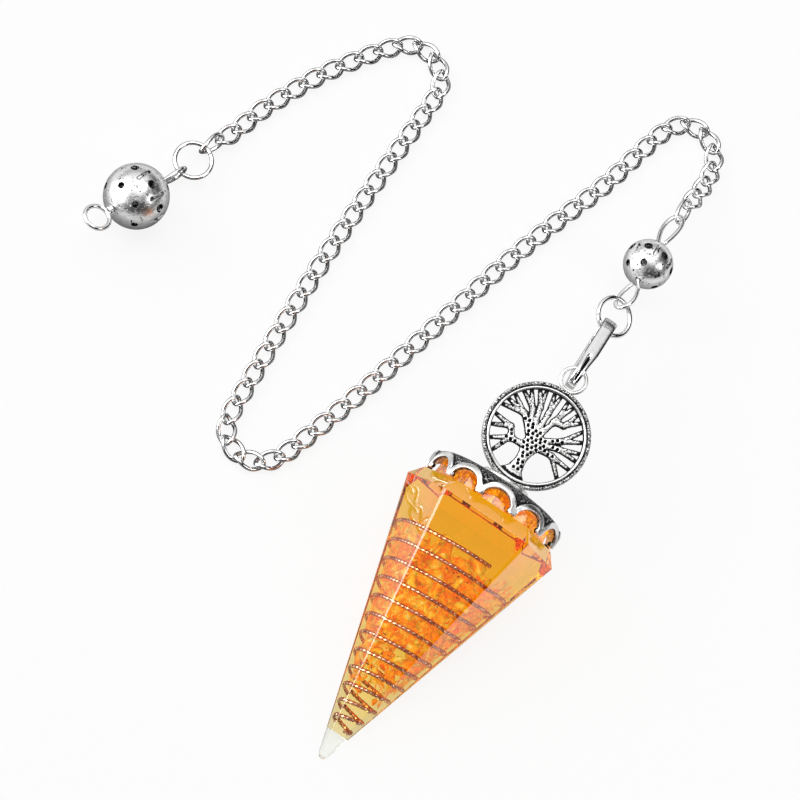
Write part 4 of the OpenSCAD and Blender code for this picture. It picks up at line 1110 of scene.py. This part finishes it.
def bead_shell(diameter, at, heading, slope, roll):
    """A pierced ball on a grid of latitude u from the bore and longitude v. Each hole's depth in metal
    is its angular distance less its radius, and the points next to it are moved onto its edge."""
    radius = diameter / 2
    bore = math.asin(BEAD_BORE / diameter)
    u = np.linspace(bore, math.pi - bore, BEAD_ROWS)[:, None]
    v = np.linspace(0, 2 * math.pi, BEAD_COLS, endpoint=False)[None]
    ball = np.stack(np.broadcast_arrays(np.cos(u), np.sin(u) * np.cos(v), np.sin(u) * np.sin(v)), -1)
    holes = [(90, 360 / MIDDLE_HOLES * k, BEAD_HOLE) for k in range(MIDDLE_HOLES)]
    holes += [(90 - SIDE_TIP * side, 360 / SIDE_HOLES * k + SIDE_TURN, BEAD_HOLE * 0.8)
              for k in range(SIDE_HOLES) for side in (-1, 1)]
    tilt, turn, hole = np.array(holes).T
    tilt, turn, open_r = np.radians(tilt), np.radians(turn), hole / diameter
    middle = np.stack([np.cos(tilt), -np.sin(tilt) * np.sin(turn), np.sin(tilt) * np.cos(turn)], -1)
    angle = np.arccos(np.clip(ball @ middle.T, -1, 1)) - open_r
    near = angle.argmin(-1)
    deep = angle.min(-1)
    axis = middle[near]
    away = unit(ball - axis * np.sum(ball * axis, -1, keepdims=True))
    on_edge = axis * np.cos(open_r[near])[..., None] + away * np.sin(open_r[near])[..., None]
    cell = math.pi / BEAD_ROWS
    snap = np.abs(deep) < 0.55 * cell
    ball = np.where(snap[..., None], on_edge, ball)
    deep = np.where(snap, 0, deep) * radius
    slot_turn = (v - math.radians(22.5) + math.pi / 8) % (math.pi / 4) - math.pi / 8
    slot_side = np.abs(slot_turn) * np.sin(u) * radius
    slot_end = np.clip(np.abs(u - math.pi / 2) * radius - 0.22 * radius, 0, None)
    slot = 1 - smooth_step(0.14, 0.26, np.hypot(slot_side, slot_end))
    outer = ball * (radius - 0.02 - SLOT_DEEP * slot)[..., None]
    inner = ball * (radius - BEAD_WALL)
    slot_rim = np.exp(-((slot - 0.5) / 0.3) ** 2)
    mask = np.clip(0.16 + 0.5 * slot_rim + 0.16 * slot + 0.75 * (1 - smooth_step(0.02, 0.10, deep)), 0, 1)
    sheet = pierced_sheet(outer, inner, deep, True, [mask, np.full(deep.shape, 0.34)])
    return placed(sheet[0], at, heading, slope, roll), sheet[1], sheet[2]


for bead, diameter, at, heading, slope, roll in (
        ("small_bead", SMALL_BEAD_D, small_bead_at, pin_b_heading, PIN_B_SLOPE, math.radians(20)),
        ("large_bead", LARGE_BEAD_D, LARGE_BEAD_AT, PIN_A_HEADING, pin_a_slope, math.radians(10))):
    shell = bead_shell(diameter, at, heading, slope, roll)
    make_piece(bead + "_shell", [shell], bead_silver, bead)

# Curb chain. Each link is one ring of round wire, pressed oval and twisted so that the chain lies
# flat. The links follow the same route as the part's source.
CHAIN_PITCH = 2.6
CHAIN_WIRE = 0.4
# The wire is drawn thicker than in the part's source, as the photograph shows it
WIRE_SHOWN = 0.48
LINK_W = 2.38
LINK_PLAY = 0.44
LINK_TWIST = math.radians(50)
BEND_SLACK = 0.34
CHAIN_Z = 0.66
FIRST_ROLL = math.radians(67)
FIRST_TWIST = math.radians(-22)
LAST_ROLL = math.radians(-45)
LAST_HOOK = 0.52
CURVE_STEPS = 8
LINK_STEPS = 40
ROUTE = [
    (-20.5, 57.7, CHAIN_Z), (-16.7, 61.0, CHAIN_Z), (-10.5, 65.2, CHAIN_Z), (-5.6, 67.7, CHAIN_Z),
    (-2.8, 68.9, CHAIN_Z), (-0.9, 69.6, CHAIN_Z), (1.2, 70.0, CHAIN_Z), (3.2, 69.3, CHAIN_Z),
    (4.5, 67.6, CHAIN_Z), (4.9, 65.6, CHAIN_Z), (4.2, 63.6, CHAIN_Z), (1.8, 60.0, CHAIN_Z),
    (-4.2, 51.2, CHAIN_Z), (-9.8, 42.6, CHAIN_Z), (-15.6, 33.0, CHAIN_Z), (-19.4, 26.4, CHAIN_Z),
    (-21.1, 23.4, CHAIN_Z), (-21.8, 21.4, CHAIN_Z), (-21.5, 19.5, CHAIN_Z), (-20.3, 18.0, CHAIN_Z),
    (-18.4, 17.3, CHAIN_Z), (-16.5, 17.6, CHAIN_Z), (-14.6, 18.7, CHAIN_Z), (-12.4, 20.5, CHAIN_Z),
    (-6.4, 25.6, CHAIN_Z), (0.5, 31.9, CHAIN_Z), (6.4, 37.4, CHAIN_Z), (12.0, 42.6, CHAIN_Z),
    (18.0, 47.7, CHAIN_Z), (24.5, 52.9, CHAIN_Z), (30.2, 58.3, CHAIN_Z), (32.7, 60.4, CHAIN_Z),
    (34.5, 61.2, CHAIN_Z), (36.4, 61.0, CHAIN_Z), (37.9, 59.7, CHAIN_Z), (38.6, 58.0, 0.7),
    (38.3, 55.9, 0.85), (37.2, 53.6, 1.5), (35.3, 51.1, 2.5),
]

link_a = (CHAIN_PITCH + CHAIN_WIRE + LINK_PLAY) / 2
link_b = (LINK_W - CHAIN_WIRE) / 2
end_hook = (RING_A_WIRE + CHAIN_WIRE) / 2 + LINK_PLAY / 2
first_dir = aim(math.radians(38), math.radians(10))
last_dir = -aim(LIE_HEADING, math.radians(12))
first_link_at = ring_a_at + (ring_a_r - end_hook) * aim(math.radians(54), 0) + link_a * first_dir
last_eye = eye_curve(np.array([LAST_HOOK]), EYE_B2_L - PIN_WIRE / 2)[0]
pin_b_left = np.array([-math.sin(pin_b_heading), math.cos(pin_b_heading), 0])
pin_b_up = np.cross(pin_b_dir, pin_b_left)
last_side = math.cos(EYE_B2_ROLL) * pin_b_left + math.sin(EYE_B2_ROLL) * pin_b_up
last_link_at = small_bead_at + (small_r + last_eye[0]) * pin_b_dir + last_eye[1] * last_side
last_link_at = last_link_at - (link_a - end_hook - SEAT_GAP) * last_dir

knots = np.concatenate([[first_link_at], ROUTE, [last_link_at]])
ends = np.concatenate([knots[:1], knots, knots[-1:]])
k0, k1, k2, k3 = (ends[i:len(ends) - 3 + i, None] for i in range(4))
t = (np.arange(CURVE_STEPS) / CURVE_STEPS)[None, :, None]
track = 2 * k1 + (k2 - k0) * t + (2 * k0 - 5 * k1 + 4 * k2 - k3) * t ** 2
track = 0.5 * (track + (3 * k1 - k0 - 3 * k2 + k3) * t ** 3)
track = np.concatenate([track.reshape(-1, 3), [last_link_at]])
step = np.diff(track, axis=0)
step_l = np.linalg.norm(step, axis=1)
bend = np.arccos(np.clip(np.sum(unit(step[1:]) * unit(step[:-1]), -1), -1, 1))
run = np.concatenate([[0], np.cumsum(step_l + BEND_SLACK * np.concatenate([[0], bend]))])
links = round(run[-1] / CHAIN_PITCH) + 1
at_run = run[-1] * np.arange(links) / (links - 1)
link_at = np.stack([np.interp(at_run, run, track[:, k]) for k in range(3)], -1)
link_dir = unit(np.concatenate([[first_dir], link_at[2:] - link_at[:-2], [last_dir]]))
link_left = unit(np.stack([-link_dir[:, 1], link_dir[:, 0], 0 * link_dir[:, 0]], -1))
link_up = np.cross(link_dir, link_left)
twist = np.full(links, LINK_TWIST)
twist[0], twist[-1] = FIRST_TWIST, 0.0
roll = np.zeros(links)
roll[0], roll[-1] = FIRST_ROLL, LAST_ROLL
t = np.linspace(0, 2 * math.pi, LINK_STEPS, endpoint=False)[None]
g = roll[:, None] + twist[:, None] * np.cos(t)
x, y, z = link_a * np.cos(t) + 0 * g, link_b * np.sin(t) * np.cos(g), link_b * np.sin(t) * np.sin(g)
line = x[..., None] * link_dir[:, None] + y[..., None] * link_left[:, None] + z[..., None] * link_up[:, None]
link_grid = sweep(line + link_at[:, None], line, round_profile(WIRE_SHOWN, 12), closed=True)
make_piece("chain_links", [hoop_shell(grid) for grid in link_grid], silver, "curb_chain")

low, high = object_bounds()
